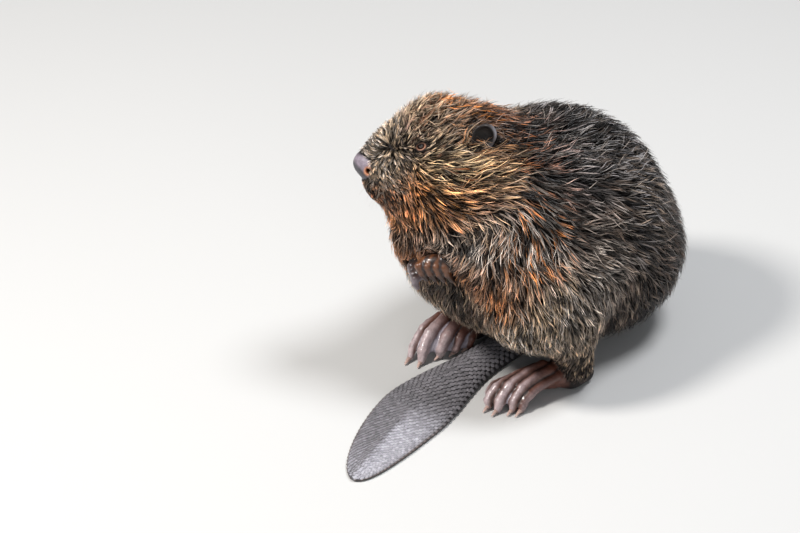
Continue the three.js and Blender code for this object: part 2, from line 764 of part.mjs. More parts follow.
// Room for the eyeball and the opening between its lids.
function eyeSocket(side) {
  const [f, l, u] = EYE.place;
  return oval(placeOnSide([f, l + EYE.lidOut, u], side), EYE.lidRoom, {}, true);
}

function nosePad() {
  const nostrils = sides.map((side) => {
    const yaw = side === 'left' ? -NOSTRIL.yaw : NOSTRIL.yaw;
    return oval(placeOnSide(NOSTRIL.place, side), NOSTRIL.half, { yaw }, true, 0, 0);
  });
  return without(nose(0, 2), nostrils);
}

// A cup that opens outwards and a little forwards.
function earCup(side) {
  const [f, l, u] = EAR.places[side];
  const [forward, out, up] = EAR.opening;
  const [halfForward, , halfUp] = EAR.half.map((h) => h - EAR.wall);
  const place = [f + forward, l + Math.sign(l) * out, u + up];
  return ear(side, 0, 2).subtract(oval(place, [halfForward, EAR.half[1], halfUp], earTurns[side], true));
}

function skull() {
  const earRooms = sides.map((side) => ear(side, CLEARANCE, 1));
  const openings = [nose(CLEARANCE, 1), jawRegion(GAP), ...earRooms, ...sides.map(eyeSocket)];
  return without(fleshIn(headRegion(0), FACET.head), openings);
}

function lowerJaw() {
  return without(fleshIn(headRegion(0).intersect(jawRegion(0)), FACET.head), [nose(CLEARANCE, 1)]);
}

// ---- the whole animal -----------------------------------------------------------------------------

// What the limbs, hands, feet, head and tail take from the trunk.
const takenFromTrunk = [
  headRegion(GAP),
  tailBaseRegion(GAP),
  tailPaddle(GAP),
  ...sides.flatMap((side) => [
    ear(side, CLEARANCE, 1),
    forearmRegion(ARMS[side], GAP),
    upperArmRegion(ARMS[side], GAP),
    thighRegion(THIGHS[side], GAP),
    shankRegion(SHANKS[side], GAP),
    handRoom(side),
  ]),
];
const trunk = aboveFloor(without(
  solid(faceted(coatedBody, TRUNK_ROOM.low, TRUNK_ROOM.high, FACET.trunk)),
  takenFromTrunk,
));

const { place: neckPlace, towards: neckUp } = NECK_CUT;
const { place: waistPlace, towards: waistUp } = WAIST_CUT;
const { place: hipPlace, towards: hipUp } = HIP_CUT;

const beaver = new THREE.Group();
beaver.name = 'beaver';

// Adds a named mesh with its colour and how rough it is.
function add(name, whole, colour, roughness) {
  const { vertProperties, triVerts } = largest(whole).getMesh();
  const geometry = new THREE.BufferGeometry();
  geometry.setAttribute('position', new THREE.BufferAttribute(vertProperties, 3));
  geometry.setIndex(new THREE.BufferAttribute(triVerts, 1));
  geometry.computeVertexNormals();
  const material = new THREE.MeshStandardMaterial({ color: colour, roughness, metalness: 0 });
  const mesh = new THREE.Mesh(geometry, material);
  mesh.name = name;
  beaver.add(mesh);
}

add('head', skull(), COLOURS.face, 0.85);
add('lower_jaw', lowerJaw(), COLOURS.face, 0.85);
add('nose_pad', nosePad(), COLOURS.nose, 0.45);
sides.forEach((side) => {
  add(`ear_${side}`, earCup(side), COLOURS.darkCoat, 0.8);
  add(`eye_${side}`, eyeball(side), COLOURS.eye, 0.1);
});

add('neck', ahead(trunk, neckPlace, neckUp), COLOURS.coat, 0.85);
add('chest', ahead(behind(trunk, neckPlace, neckUp), waistPlace, waistUp), COLOURS.coat, 0.85);
add('abdomen', ahead(behind(trunk, waistPlace, waistUp), hipPlace, hipUp), COLOURS.coat, 0.85);
add('rump', behind(behind(trunk, hipPlace, hipUp), waistPlace, waistUp), COLOURS.darkCoat, 0.85);

const shankRooms = sides.map((side) => shankRegion(SHANKS[side], GAP));
const tailBase = aboveFloor(without(fleshIn(tailBaseRegion(0), FACET.tailBase), shankRooms));
add('tail_base', ahead(tailBase, [0, TAIL.start + GAP, 0], [0, 1, 0]), COLOURS.darkCoat, 0.85);
add('tail_paddle', tailPaddle(), COLOURS.scale, 0.6);

sides.forEach((side) => {
  const [arm, thigh, shank, foot] = [ARMS[side], THIGHS[side], SHANKS[side], HIND_FEET[side]];
  const room = handRoom(side);
  const upperArm = fleshIn(upperArmRegion(arm, 0), FACET.arm).subtract(headRegion(GAP));
  const forearm = fleshIn(forearmRegion(arm, 0), FACET.arm);
  const thighFlesh = fleshIn(thighRegion(thigh, 0), FACET.thigh);
  const shankFlesh = aboveFloor(fleshIn(shankRegion(shank, 0), FACET.shank));
  add(`upper_arm_${side}`, without(upperArm, [forearmRegion(arm, GAP), room]), COLOURS.coat, 0.85);
  add(`forearm_${side}`, forearm.subtract(room), COLOURS.coat, 0.85);
  const claws = [0, 1, 2, 3].map((n) => handClaw(side, n, GAP));
  add(`hand_${side}`, without(hand(side, 0), claws), COLOURS.bareSkin, 0.5);
  const aboveKnee = [shankRegion(shank, GAP), upperArmRegion(arm, GAP), forearmRegion(arm, GAP)];
  add(`thigh_${side}`, without(thighFlesh, aboveKnee), COLOURS.coat, 0.85);
  add(`shank_${side}`, ahead(shankFlesh, shank.cut, shank.heelwards), COLOURS.coat, 0.85);
  add(`hind_foot_${side}`, behind(hindFoot(foot), shank.cut, shank.heelwards), COLOURS.bareSkin, 0.5);

  foot.digits.forEach((digit, n) => {
    add(`hind_claw_${side}_${n + 1}`, hindClaw(digit, 0), COLOURS.claw, 0.35);
  });
  [0, 1, 2, 3].forEach((n) => {
    add(`hand_claw_${side}_${n + 1}`, handClaw(side, n, 0), COLOURS.claw, 0.35);
  });
});

// The origin goes to the middle of the footprint.
const extent = new THREE.Box3().setFromObject(beaver);
const middle = extent.getCenter(new THREE.Vector3());
beaver.children.forEach((mesh) => mesh.geometry.translate(-middle.x, -middle.y, 0));

export default beaver;
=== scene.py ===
import math
import bpy
import numpy as np
from mathutils import Matrix, Vector
from mathutils.bvhtree import BVHTree
from mathutils.kdtree import KDTree


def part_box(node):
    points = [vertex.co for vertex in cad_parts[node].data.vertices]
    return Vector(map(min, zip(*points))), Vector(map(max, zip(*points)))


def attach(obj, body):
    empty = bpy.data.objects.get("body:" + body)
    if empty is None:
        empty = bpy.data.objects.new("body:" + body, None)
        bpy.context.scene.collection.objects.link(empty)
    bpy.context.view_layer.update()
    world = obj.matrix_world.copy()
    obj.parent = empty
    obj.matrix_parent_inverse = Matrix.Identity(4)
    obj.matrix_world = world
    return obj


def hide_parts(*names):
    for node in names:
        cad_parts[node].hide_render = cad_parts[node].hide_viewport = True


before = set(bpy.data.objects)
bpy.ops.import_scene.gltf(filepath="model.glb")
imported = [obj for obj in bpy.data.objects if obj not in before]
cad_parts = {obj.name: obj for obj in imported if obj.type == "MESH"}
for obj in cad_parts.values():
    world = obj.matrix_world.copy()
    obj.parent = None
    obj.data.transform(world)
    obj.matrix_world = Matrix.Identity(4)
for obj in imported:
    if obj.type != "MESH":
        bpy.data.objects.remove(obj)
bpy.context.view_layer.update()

# A sitting beaver. Shapes are worked out in millimetres in the animal's own axes, facing -Y with
# its left side to +X, and turned into metres in the shared frame when a mesh is made.
mm = 0.001
random = np.random.default_rng(20)


# ---- small helpers

def vec(*numbers):
    return np.array(numbers, float)


def mix(a, b, t):
    return a + (b - a) * t


def smoothStep(x, low, high):
    t = np.clip((x - low) / (high - low), 0, 1)
    return t * t * (3 - 2 * t)


def unit(v):
    return v / np.maximum(np.linalg.norm(v, axis=-1, keepdims=True), 1e-9)


def dots(a, b):
    return np.einsum("ij,ij->i", a, b)


# ---- axes: columns forward, left and up

def turned(yaw=0, pitch=0, roll=0):
    y, p, r = np.radians([yaw, pitch, roll])
    up = vec(0, 0, 1)
    ahead = vec(-math.sin(y), -math.cos(y), 0)
    side = vec(math.cos(y), -math.sin(y), 0)
    forward = ahead * math.cos(p) - up * math.sin(p)
    top = ahead * math.sin(p) + up * math.cos(p)
    left = side * math.cos(r) + top * math.sin(r)
    crown = top * math.cos(r) - side * math.sin(r)
    return np.stack([forward, left, crown], axis=1)


head = dict(at=vec(-55, -79, 274), yaw=46, pitch=12, roll=13)
bodyAxes = turned()
headAxes = turned(head["yaw"], head["pitch"], head["roll"])


def onHead(place):
    return head["at"] + headAxes @ np.asarray(place, float)


def toHead(points):
    return (points - head["at"]) @ headAxes


def bothSides(place):
    f, l, u = place
    return [(f, l, u), (f, -l, u)]


# ---- flesh: ovals and tapered limbs, each with the depth of coat over it

def oval(place, half, coat=0, turn=None, onTheHead=False):
    axes = turned(**(turn or {}))
    if onTheHead:
        place, axes = onHead(place), headAxes @ bodyAxes.T @ axes
    return dict(place=np.asarray(place, float), half=np.asarray(half, float), axes=axes, coat=coat)


def headOval(place, half, coat=0, **turn):
    return oval(place, half, coat, turn, True)


def limb(start, end, startRadius, endRadius, coat=0):
    start, end = np.asarray(start, float), np.asarray(end, float)
    return dict(start=start, along=end - start, radii=(startRadius, endRadius), coat=coat)


def distanceTo(shape, points, coated=False):
    extra = shape["coat"] if coated else 0
    if "half" in shape:
        local = (points - shape["place"].astype(points.dtype)) @ shape["axes"].astype(points.dtype)
        half = (shape["half"] + extra).astype(points.dtype)
        local /= half
        near = np.sqrt(dots(local, local))
        local /= half
        far = np.sqrt(dots(local, local))
        return near * (near - 1) / np.maximum(far, 1e-6)
    offset = points - shape["start"].astype(points.dtype)
    along = shape["along"].astype(points.dtype)
    t = np.clip(offset @ along / (along @ along), 0, 1)
    offset -= t[:, None] * along
    first, last = shape["radii"]
    return np.sqrt(dots(offset, offset)) - (first + (last - first) * t + extra)


def smoothMin(a, b, blend):
    h = np.maximum(blend - np.abs(a - b), 0)
    return np.minimum(a, b) - h * h / (4 * max(blend, 1e-6))


def smoothMax(a, b, blend):
    return -smoothMin(-a, -b, blend)


limbCoat, thighCoat = 6, 9
arms = dict(
    left=dict(shoulder=vec(36, -74, 214), elbow=vec(40, -104, 172), wrist=vec(-2, -132, 178),
              radii=(36, 27, 22, 11)),
    right=dict(shoulder=vec(-78, -86, 204), elbow=vec(-70, -112, 168), wrist=vec(-46, -131, 155),
               radii=(32, 24, 20, 10)),
)
eye = dict(place=(27.5, 28.5, 21.5), radius=6.5, opening=(4.4, 12, 2.7), openingOut=4, tilt=12, lid=1.5,
           socketGap=0.25, ballGap=0.1, bulge=0.06, bulgeAngle=0.5, rings=25, sides=40,
           colour=(0.016, 0.008, 0.005))
ear = dict(places=((-43, 48, 23), (-43, -48, 15)), half=(15, 7.5, 16), wall=2.2, opening=(1.5, 5, 0.5),
           yaw=24, roll=-18)
nose = dict(place=(92, 0, 4), half=(16.5, 17, 14.5), nostril=(89.5, 15.8, -0.5), nostrilHalf=(6.2, 4.8, 4.2),
            nostrilYaw=70)

flesh = [
    dict(name="head", soft=16, join=0, shapes=[
        headOval((-20, 0, -12), (46, 43, 40), 9),
        headOval((12, 0, 18), (38, 31, 39), 9),
        *[headOval(p, (42, 28, 36), 7) for p in bothSides((-12, 26, -18))],
        *[headOval(p, (16, 11, 12), 2) for p in bothSides((27, 22, 20))],
        headOval((46, 0, 12), (38, 25, 30), 7, pitch=17),
        headOval((68, 0, -8), (32, 24, 32), 4),
        *[headOval(p, (26, 16, 24), 3) for p in bothSides((70, 13, -20))],
        headOval((42, 0, -44), (38, 24, 20), 8),
        headOval((-6, 0, -38), (44, 38, 30), 8),
    ]),
    dict(name="neck", soft=1, join=34, shapes=[limb(onHead((-24, -4, -18)), (-24, -30, 208), 46, 86, 10)]),
    dict(name="trunk", soft=40, join=40, shapes=[
        oval((-34, -62, 200), (70, 70, 80), 10, dict(yaw=20)),
        oval((-16, -2, 182), (96, 102, 94), 11),
        oval((-6, 62, 149), (104, 112, 118), 11),
        oval((3, 92, 92), (108, 104, 92), 10),
        oval((-14, -34, 116), (80, 80, 66), 8),
    ]),
    dict(name="thighs", soft=20, join=30, shapes=[
        oval((68, -44, 128), (82, 50, 66), thighCoat, dict(yaw=6)),
        oval((-80, -30, 124), (78, 48, 64), thighCoat, dict(yaw=-8)),
    ]),
    dict(name="shanks", soft=14, join=20, shapes=[
        limb((78, -34, 92), (88, -26, 34), 38, 19, limbCoat),
        limb((-66, -34, 84), (-62, -30, 40), 36, 20, limbCoat),
    ]),
    dict(name="arms", soft=16, join=24, shapes=[
        piece for arm in arms.values() for piece in (
            limb(arm["shoulder"], arm["elbow"], arm["radii"][0], arm["radii"][1], thighCoat),
            limb(arm["elbow"], arm["wrist"], arm["radii"][2], arm["radii"][3], limbCoat),
        )
    ]),
    dict(name="tailRoot", soft=1, join=16, shapes=[limb((-14, 60, 26), (-16, -24, 7), 27, 17, 4)]),
]

# ---- feet and hands, from the heel or palm out to where each claw starts

feet = dict(
    left=dict(
        sole=[(89, -12, 11.6), (85, -28, 16), (74, -52, 19), (64, -76, 14)],
        soleRadii=(13, 16.5, 13.5, 8),
        digits=[
            ((54, -64, 20), (39, -104, 16), (37, -120), 5.2),
            ((60, -60, 27), (47, -109, 19), (51, -138), 6),
            ((67, -56, 31), (58, -101, 22), (63, -137), 6.8),
            ((78, -56, 30), (71, -94, 22), (75, -125), 6.2),
            ((86, -54, 24), (79, -90, 16), (83, -120), 5.8),
        ],
    ),
    right=dict(
        sole=[(-62, -8, 11.6), (-62, -28, 17), (-63, -46, 20), (-64, -64, 15)],
        soleRadii=(13, 18, 17, 9),
        digits=[
            ((-50, -38, 22), (-45, -51, 14), (-47, -66), 4.6),
            ((-56, -42, 31), (-50, -66, 19), (-51, -83), 5.4),
            ((-64, -44, 36), (-58, -78, 24), (-58, -100), 6.4),
            ((-74, -44, 36), (-74, -88, 27), (-62, -124), 6.8),
            ((-82, -44, 31), (-88, -84, 25), (-77, -129), 5.4),
        ],
    ),
)
footShape = dict(clawLength=14, clawRadius=3.1, tipHeight=1.4, stops=(0, 0.2, 0.4, 0.52, 0.66, 0.84, 1),
                 swell=(1, 0.94, 0.92, 1.04, 0.84, 0.92, 0.66), webHalf=1.3, webFrom=0.24, webReach=0.93,
                 webScallop=0.12, webThreads=19, webSag=1.6)
hands = dict(
    left=dict(palm=(-17, -143, 174), yaw=-37, first=vec(-27, -160, 172), step=vec(7.6, 5.7, 0),
              curl=vec(5, 8, -19)),
    right=dict(palm=(-42, -141.5, 152.5), yaw=37, first=vec(-34, -158, 151), step=vec(-7, 5.4, 0),
               curl=vec(-4, 8, -17)),
)
finger = dict(count=4, radius=4.2, swell=(0.95, 1.08, 0.92, 0.66), back=11, middle=0.45, bulge=1.5,
              palmHalf=(9, 16, 8.5), clawLength=9, clawRadius=1.9)


# A smooth curve through three places, t from 0 to 1.
def through(a, b, c, t):
    a, b, c = (np.asarray(p, float) for p in (a, b, c))
    bend = 2 * b - (a + c) / 2
    return (1 - t) ** 2 * a + 2 * t * (1 - t) * bend + t * t * c


# The places of a hind digit. Its claw's tip is near the floor, and the flesh ends where the claw starts.
def hindDigit(digit):
    base, knuckle, tip, radius = digit
    tip = vec(*tip, footShape["tipHeight"])
    back = unit(vec(*knuckle) - tip)
    end = tip + back * footShape["clawLength"]
    end[2] = footShape["clawRadius"]
    return dict(base=vec(*base), knuckle=vec(*knuckle), end=end, tip=tip, radius=radius)


def alongDigit(d, t):
    return through(d["base"], d["knuckle"], d["end"], t)


# Limbs end to end through these places, each as thick at its ends as the radii say.
def chained(places, radii):
    return [limb(*ends) for ends in zip(places, places[1:], radii, radii[1:])]


def digitLimbs(digit):
    d = hindDigit(digit)
    places = [alongDigit(d, t) for t in footShape["stops"]]
    return chained(places, [d["radius"] * s for s in footShape["swell"]])


# The web between two digits, as threads from one to the other that melt into a sheet.
def webLimbs(digit, nextDigit):
    pair = hindDigit(digit), hindDigit(nextDigit)
    threads = []
    for n in range(footShape["webThreads"]):
        share = n / (footShape["webThreads"] - 1)
        t = mix(footShape["webFrom"], footShape["webReach"], share)
        left, right = (alongDigit(d, t) for d in pair)
        middle = sum(alongDigit(d, t - footShape["webScallop"] * share) for d in pair) / 2
        for p in (left, middle, right):
            p[2] = max(p[2] - footShape["webSag"], footShape["webHalf"] + 0.1)
        threads += chained([left, middle, right], [footShape["webHalf"]] * 3)
    return threads


# A finger's places, from inside the palm to the tip; it curls at the knuckle.
def fingerPlaces(hand, n):
    knuckle = hand["first"] + hand["step"] * n
    tip = knuckle + hand["curl"]
    midKnuckles = hand["first"] + hand["step"] * (finger["count"] - 1) / 2
    inwards = unit(vec(*hand["palm"]) - midKnuckles)
    middle = mix(knuckle, tip, finger["middle"]) - inwards * finger["bulge"]
    return [knuckle + inwards * finger["back"], knuckle, middle, tip]


def fingerLimbs(hand, n):
    return chained(fingerPlaces(hand, n), [finger["radius"] * s for s in finger["swell"]])


soles, digits, webs, handShapes, fingerGroups = [], [], [], [], []
for foot in feet.values():
    soles += chained(foot["sole"], foot["soleRadii"])
    for digit in foot["digits"]:
        digits += digitLimbs(digit)
    for one, other in zip(foot["digits"], foot["digits"][1:]):
        webs += webLimbs(one, other)
for hand in hands.values():
    fingers = [fingerLimbs(hand, n) for n in range(finger["count"])]
    fingerGroups += fingers
    handShapes += [oval(hand["palm"], finger["palmHalf"], turn=dict(yaw=hand["yaw"])), *sum(fingers, [])]

earOvals, earHollows, eyeSockets, nostrils, lidMounds = [], [], [], [], []
for side, (f, l, u) in zip((1, -1), ear["places"]):
    turn = dict(yaw=-side * ear["yaw"], roll=side * ear["roll"])
    forward, out, up = ear["opening"]
    length, depth, height = ear["half"]
    inner = (length - ear["wall"], depth, height - ear["wall"])
    earOvals.append(headOval((f, l, u), ear["half"], **turn))
    earHollows.append(headOval((f + forward, l + side * out, u + up), inner, **turn))
for side in (1, -1):
    f, l, u = eye["place"]
    eyeSockets.append(headOval((f, side * (l + eye["openingOut"]), u), eye["opening"], pitch=eye["tilt"]))
    eyeSockets.append(headOval((f, side * l, u), [eye["radius"] + eye["socketGap"]] * 3))
    lidMounds.append(headOval((f, side * l, u), [eye["radius"] + eye["lid"]] * 3))
    f, l, u = nose["nostril"]
    nostrils.append(headOval((f, side * l, u), nose["nostrilHalf"], yaw=-side * nose["nostrilYaw"]))

bare = [
    dict(name="soles", soft=8, join=10, shapes=soles),
    dict(name="digits", soft=1.6, join=3, shapes=digits),
    dict(name="webs", soft=1.2, join=1.6, shapes=webs),
    dict(name="hands", soft=1.4, join=4, shapes=handShapes),
    dict(name="nose", soft=1, join=9, shapes=[headOval(nose["place"], nose["half"])]),
    dict(name="ears", soft=1, join=4, shapes=earOvals),
    dict(name="lids", soft=1, join=4, shapes=lidMounds),
]
hollows = dict(
    ears=dict(soft=2, shapes=earHollows),
    eyes=dict(soft=1, shapes=eyeSockets),
    nostrils=dict(soft=1.2, shapes=nostrils),
)
fleshGroup = {group["name"]: group for group in flesh}
bareGroup = {group["name"]: group for group in bare}


def groupDistance(group, points, coated=False, chosen=None):
    result = None
    for n, shape in enumerate(group["shapes"]):
        if chosen is None or chosen[n]:
            one = distanceTo(shape, points, coated)
            result = one if result is None else smoothMin(result, one, group["soft"])
    return result


# The body's furred flesh alone, with or without its coat.
def fleshDistance(points, coated=False):
    result = None
    for group in flesh:
        one = groupDistance(group, points, coated)
        result = one if result is None else smoothMin(result, one, group["join"])
    return result


# The whole skin. chosen says which shapes of each group are near enough to matter.
def skinDistance(points, chosen=None):
    result = None
    for group in flesh + bare:
        one = groupDistance(group, points, False, chosen and chosen[id(group)])
        if one is not None:
            result = one if result is None else smoothMin(result, one, group["join"])
    if result is None:
        return np.full(len(points), 99, points.dtype)
    for group in hollows.values():
        one = groupDistance(group, points, False, chosen and chosen[id(group)])
        if one is not None:
            result = smoothMax(result, -one, group["soft"])
    return np.maximum(result, -points[:, 2])


# ---- the skin's surface, from a grid of distances. Blocks far from the skin are filled roughly.

skinGrid = dict(cell=1.5, block=16, low=vec(-160, -176, -3), high=vec(132, 210, 344), reachFactor=1.2,
                roughFrom=8, shapeRoom=6, triangles=186000, keepBare=3)


def sampledSkin(cell):
    block = skinGrid["block"]
    low = skinGrid["low"].astype(np.float32)
    blocks = np.ceil((skinGrid["high"] - skinGrid["low"]) / (cell * block)).astype(int)
    steps = np.stack(np.meshgrid(*[np.arange(block)] * 3, indexing="ij"), -1).reshape(-1, 3)
    offsets = (steps * cell).astype(np.float32)
    spots = np.stack(np.meshgrid(*[np.arange(n) for n in blocks], indexing="ij"), -1).reshape(-1, 3)
    middles = (low + (spots * block + (block - 1) / 2) * cell).astype(np.float32)
    reach = block * cell * math.sqrt(3) / 2 * skinGrid["reachFactor"]
    rough = skinDistance(middles)
    values = np.empty(blocks * block, np.float32)
    nearness = {}
    for group in [*flesh, *bare, *hollows.values()]:
        room = reach + max(group["soft"], group.get("join", 0)) + skinGrid["shapeRoom"]
        nearness[id(group)] = np.stack([distanceTo(shape, middles) for shape in group["shapes"]]) < room
    for n, spot in enumerate(spots):
        x, y, z = spot * block
        part = values[x:x + block, y:y + block, z:z + block]
        if abs(rough[n]) > reach + skinGrid["roughFrom"]:
            part[:] = rough[n]
            continue
        chosen = {key: near[:, n] for key, near in nearness.items()}
        part[:] = skinDistance(middles[n] - (block - 1) / 2 * cell + offsets, chosen).reshape((block,) * 3)
    return values, low


# Distance to the skin and its slope at some points, read from the grid.
def nearSkin(points):
    at = np.clip((points - gridLow) / skinGrid["cell"], 0, np.array(values.shape) - 1.001)
    first = at.astype(int)
    t = (at - first).astype(np.float32)
    flat = values.ravel()
    strides = np.array([values.shape[1] * values.shape[2], values.shape[2], 1])
    base = first @ strides
    corner = {
        (i, j, k): flat[base + np.array([i, j, k]) @ strides]
        for i in (0, 1) for j in (0, 1) for k in (0, 1)
    }
    x, y, z = t.T
    faces = {(i, j): mix(corner[i, j, 0], corner[i, j, 1], z) for i in (0, 1) for j in (0, 1)}
    rises = {(i, j): corner[i, j, 1] - corner[i, j, 0] for i in (0, 1) for j in (0, 1)}
    near, far = mix(faces[0, 0], faces[0, 1], y), mix(faces[1, 0], faces[1, 1], y)
    slopeY = mix(faces[0, 1] - faces[0, 0], faces[1, 1] - faces[1, 0], x)
    slopeZ = mix(mix(rises[0, 0], rises[0, 1], y), mix(rises[1, 0], rises[1, 1], y), x)
    return mix(near, far, x), np.stack([far - near, slopeY, slopeZ], axis=1) / skinGrid["cell"]


# One vertex in every cell that the surface crosses, and a quad round every crossed edge.
def gridSurface(values, low, cell):
    corners = np.array([(i & 1, i >> 1 & 1, i >> 2 & 1) for i in range(8)])
    edges = [(a, b) for a in range(8) for b in range(a + 1, 8) if abs(corners[a] - corners[b]).sum() == 1]
    inside = values < 0
    spans = [(slice(0, -1), slice(1, None))[c] for c in (0, 1)]
    count = sum(inside[spans[x], spans[y], spans[z]].astype(np.uint8) for x, y, z in corners)
    mixed = (count > 0) & (count < 8)
    cells = np.argwhere(mixed)
    vertexAt = np.full(mixed.shape, -1, np.int32)
    vertexAt[mixed] = np.arange(len(cells))
    at = [values[tuple((cells + c).T)] for c in corners]
    total, crossings = np.zeros((len(cells), 3)), np.zeros(len(cells))
    for a, b in edges:
        crossed = (at[a] < 0) != (at[b] < 0)
        t = np.where(crossed, at[a] / np.where(crossed, at[a] - at[b], 1), 0)
        total += crossed[:, None] * (corners[a] + t[:, None] * (corners[b] - corners[a]))
        crossings += crossed
    local = total / crossings[:, None]
    for _ in range(2):     # draw each vertex onto the surface inside its cell
        weights = [np.prod(np.where(c, local, 1 - local), axis=1) for c in corners]
        here = sum(w * v for w, v in zip(weights, at))
        slope = np.zeros_like(local)
        for axis in range(3):
            others = [m for m in range(3) if m != axis]
            for c, v in zip(corners, at):
                w = np.prod(np.where(c[others], local[:, others], 1 - local[:, others]), axis=1)
                slope[:, axis] += (1 if c[axis] else -1) * w * v
        local = np.clip(local - (here / np.maximum(dots(slope, slope), 1e-6))[:, None] * slope, 0.02, 0.98)
    vertices = low + (cells + local) * cell
    quads = []
    for axis in range(3):
        u, v = (axis + 1) % 3, (axis + 2) % 3
        first = [slice(1, -1)] * 3
        second = [slice(1, -1)] * 3
        second[axis] = slice(2, None)
        crossed = np.argwhere(inside[tuple(first)] != inside[tuple(second)]) + 1
        around = []
        for backU, backV in ((1, 1), (0, 1), (0, 0), (1, 0)):
            back = np.zeros(3, int)
            back[u], back[v] = backU, backV
            around.append(vertexAt[tuple((crossed - back).T)])
        quad = np.stack(around, axis=1)
        outside = ~inside[tuple(crossed.T)]
        quad[outside] = quad[outside][:, ::-1]
        quads.append(quad)
    return vertices, np.concatenate(quads)


# ---- meshes

eyeLow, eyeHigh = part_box("eye_left")
shift = np.array((eyeLow + eyeHigh) / 2) - onHead(eye["place"]) * mm


def placed(points):
    return (np.asarray(points) * mm + shift).astype(np.float32)


def meshFrom(name, points, faces):
    faces = np.asarray(faces, np.int32)
    mesh = bpy.data.meshes.new(name)
    mesh.vertices.add(len(points))
    mesh.vertices.foreach_set("co", placed(points).ravel())
    mesh.loops.add(faces.size)
    mesh.loops.foreach_set("vertex_index", faces.ravel())
    mesh.polygons.add(len(faces))
    mesh.polygons.foreach_set("loop_start", np.arange(0, faces.size, faces.shape[1], dtype=np.int32))
    mesh.update(calc_edges=True)
    mesh.polygons.foreach_set("use_smooth", np.ones(len(faces), bool))
    return mesh


def pieceFrom(name, mesh, *materials):
    piece = bpy.data.objects.new(name, mesh)
    bpy.context.scene.collection.objects.link(piece)
    for material in materials:
        mesh.materials.append(material)
    return piece


def setColours(mesh, name, colours):
    attribute = mesh.color_attributes.new(name, "FLOAT_COLOR", "POINT")
    full = np.ones((len(colours), 4), np.float32)
    full[:, :3] = colours
    attribute.data.foreach_set("color", full.ravel())


def setShare(mesh, name, values):
    attribute = mesh.attributes.new(name, "FLOAT", "POINT")
    attribute.data.foreach_set("value", np.asarray(values, np.float32))


def evaluatedMesh(piece):
    bpy.context.view_layer.update()
    return bpy.data.meshes.new_from_object(piece.evaluated_get(bpy.context.evaluated_depsgraph_get()))


def pointsOf(mesh):
    co = np.empty(len(mesh.vertices) * 3, np.float32)
    mesh.vertices.foreach_get("co", co)
    return (co.reshape(-1, 3) - shift) / mm


# A closed skin over rings of equally many points, its ends closed round their middles.
def lofted(rings):
    rings = np.asarray(rings, float)
    count, sides = rings.shape[:2]
    points = np.concatenate([rings.reshape(-1, 3), rings[0].mean(0)[None], rings[-1].mean(0)[None]])
    s = np.arange(sides)
    after = (s + 1) % sides
    faces = []
    for r in range(count - 1):
        a, b = r * sides + s, r * sides + after
        faces += [np.stack([a, b, b + sides], 1), np.stack([a, b + sides, a + sides], 1)]
    last = (count - 1) * sides
    faces.append(np.stack([after, s, np.full(sides, count * sides)], 1))
    faces.append(np.stack([last + s, last + after, np.full(sides, count * sides + 1)], 1))
    faces = np.concatenate(faces)
    a, b, c = (points[faces[:, n]] for n in range(3))
    if dots(a, np.cross(b, c)).sum() < 0:
        faces = faces[:, ::-1]
    return points, faces


def joinedParts(parts):
    points, faces, start = [], [], 0
    for p, f in parts:
        points.append(p)
        faces.append(np.asarray(f) + start)
        start += len(p)
    return np.concatenate(points), np.concatenate(faces)


# ---- materials

def newMaterial(name, roughness, **sockets):
    material = bpy.data.materials.new(name)
    material.use_nodes = True
    surface = material.node_tree.nodes["Principled BSDF"]
    surface.inputs["Roughness"].default_value = roughness
    for socket, value in sockets.items():
        surface.inputs[socket].default_value = value
    return material, surface


# A node in a material or a node tree. An input is either a value or a socket to link from.
def node(owner, kind, inputs=None, **settings):
    tree = getattr(owner, "node_tree", owner)
    made = tree.nodes.new(kind)
    for key, value in settings.items():
        setattr(made, key, value)
    for key, value in (inputs or {}).items():
        if isinstance(value, bpy.types.NodeSocket):
            tree.links.new(value, made.inputs[key])
        else:
            made.inputs[key].default_value = value
    return made


def link(material, source, surface, socket):
    material.node_tree.links.new(source, surface.inputs[socket])


def painted(material, name, output="Fac"):
    return node(material, "ShaderNodeAttribute", attribute_name=name).outputs[output]


def noiseAt(material, scale, detail=3, stretch=(1, 1, 1)):
    place = node(material, "ShaderNodeTexCoord").outputs["Object"]
    mapped = node(material, "ShaderNodeMapping", {"Vector": place, "Scale": stretch}).outputs[0]
    return node(material, "ShaderNodeTexNoise",
                {"Vector": mapped, "Scale": scale, "Detail": detail, "Roughness": 0.55}).outputs["Fac"]


def cellsAt(material, scale):
    place = node(material, "ShaderNodeTexCoord").outputs["Object"]
    return node(material, "ShaderNodeTexVoronoi", {"Vector": place, "Scale": scale}).outputs["Distance"]


def ranged(material, value, low, high, toLow, toHigh):
    return node(material, "ShaderNodeMapRange", {
        "Value": value, "From Min": low, "From Max": high, "To Min": toLow, "To Max": toHigh}).outputs[0]


# Noise as a factor about 1, from low to high.
def mottled(material, scale, detail, low, high):
    return ranged(material, noiseAt(material, scale, detail), 0.3, 0.7, low, high)


def worked(owner, operation, a, b):
    return node(owner, "ShaderNodeMath", {0: a, 1: b}, operation=operation).outputs[0]


def scaled(owner, colour, factor):
    return node(owner, "ShaderNodeVectorMath", {0: colour, "Scale": factor}, operation="SCALE").outputs[0]


def bumped(material, surface, height, distance, strength):
    bump = node(material, "ShaderNodeBump", {"Height": height, "Distance": distance, "Strength": strength})
    link(material, bump.outputs[0], surface, "Normal")


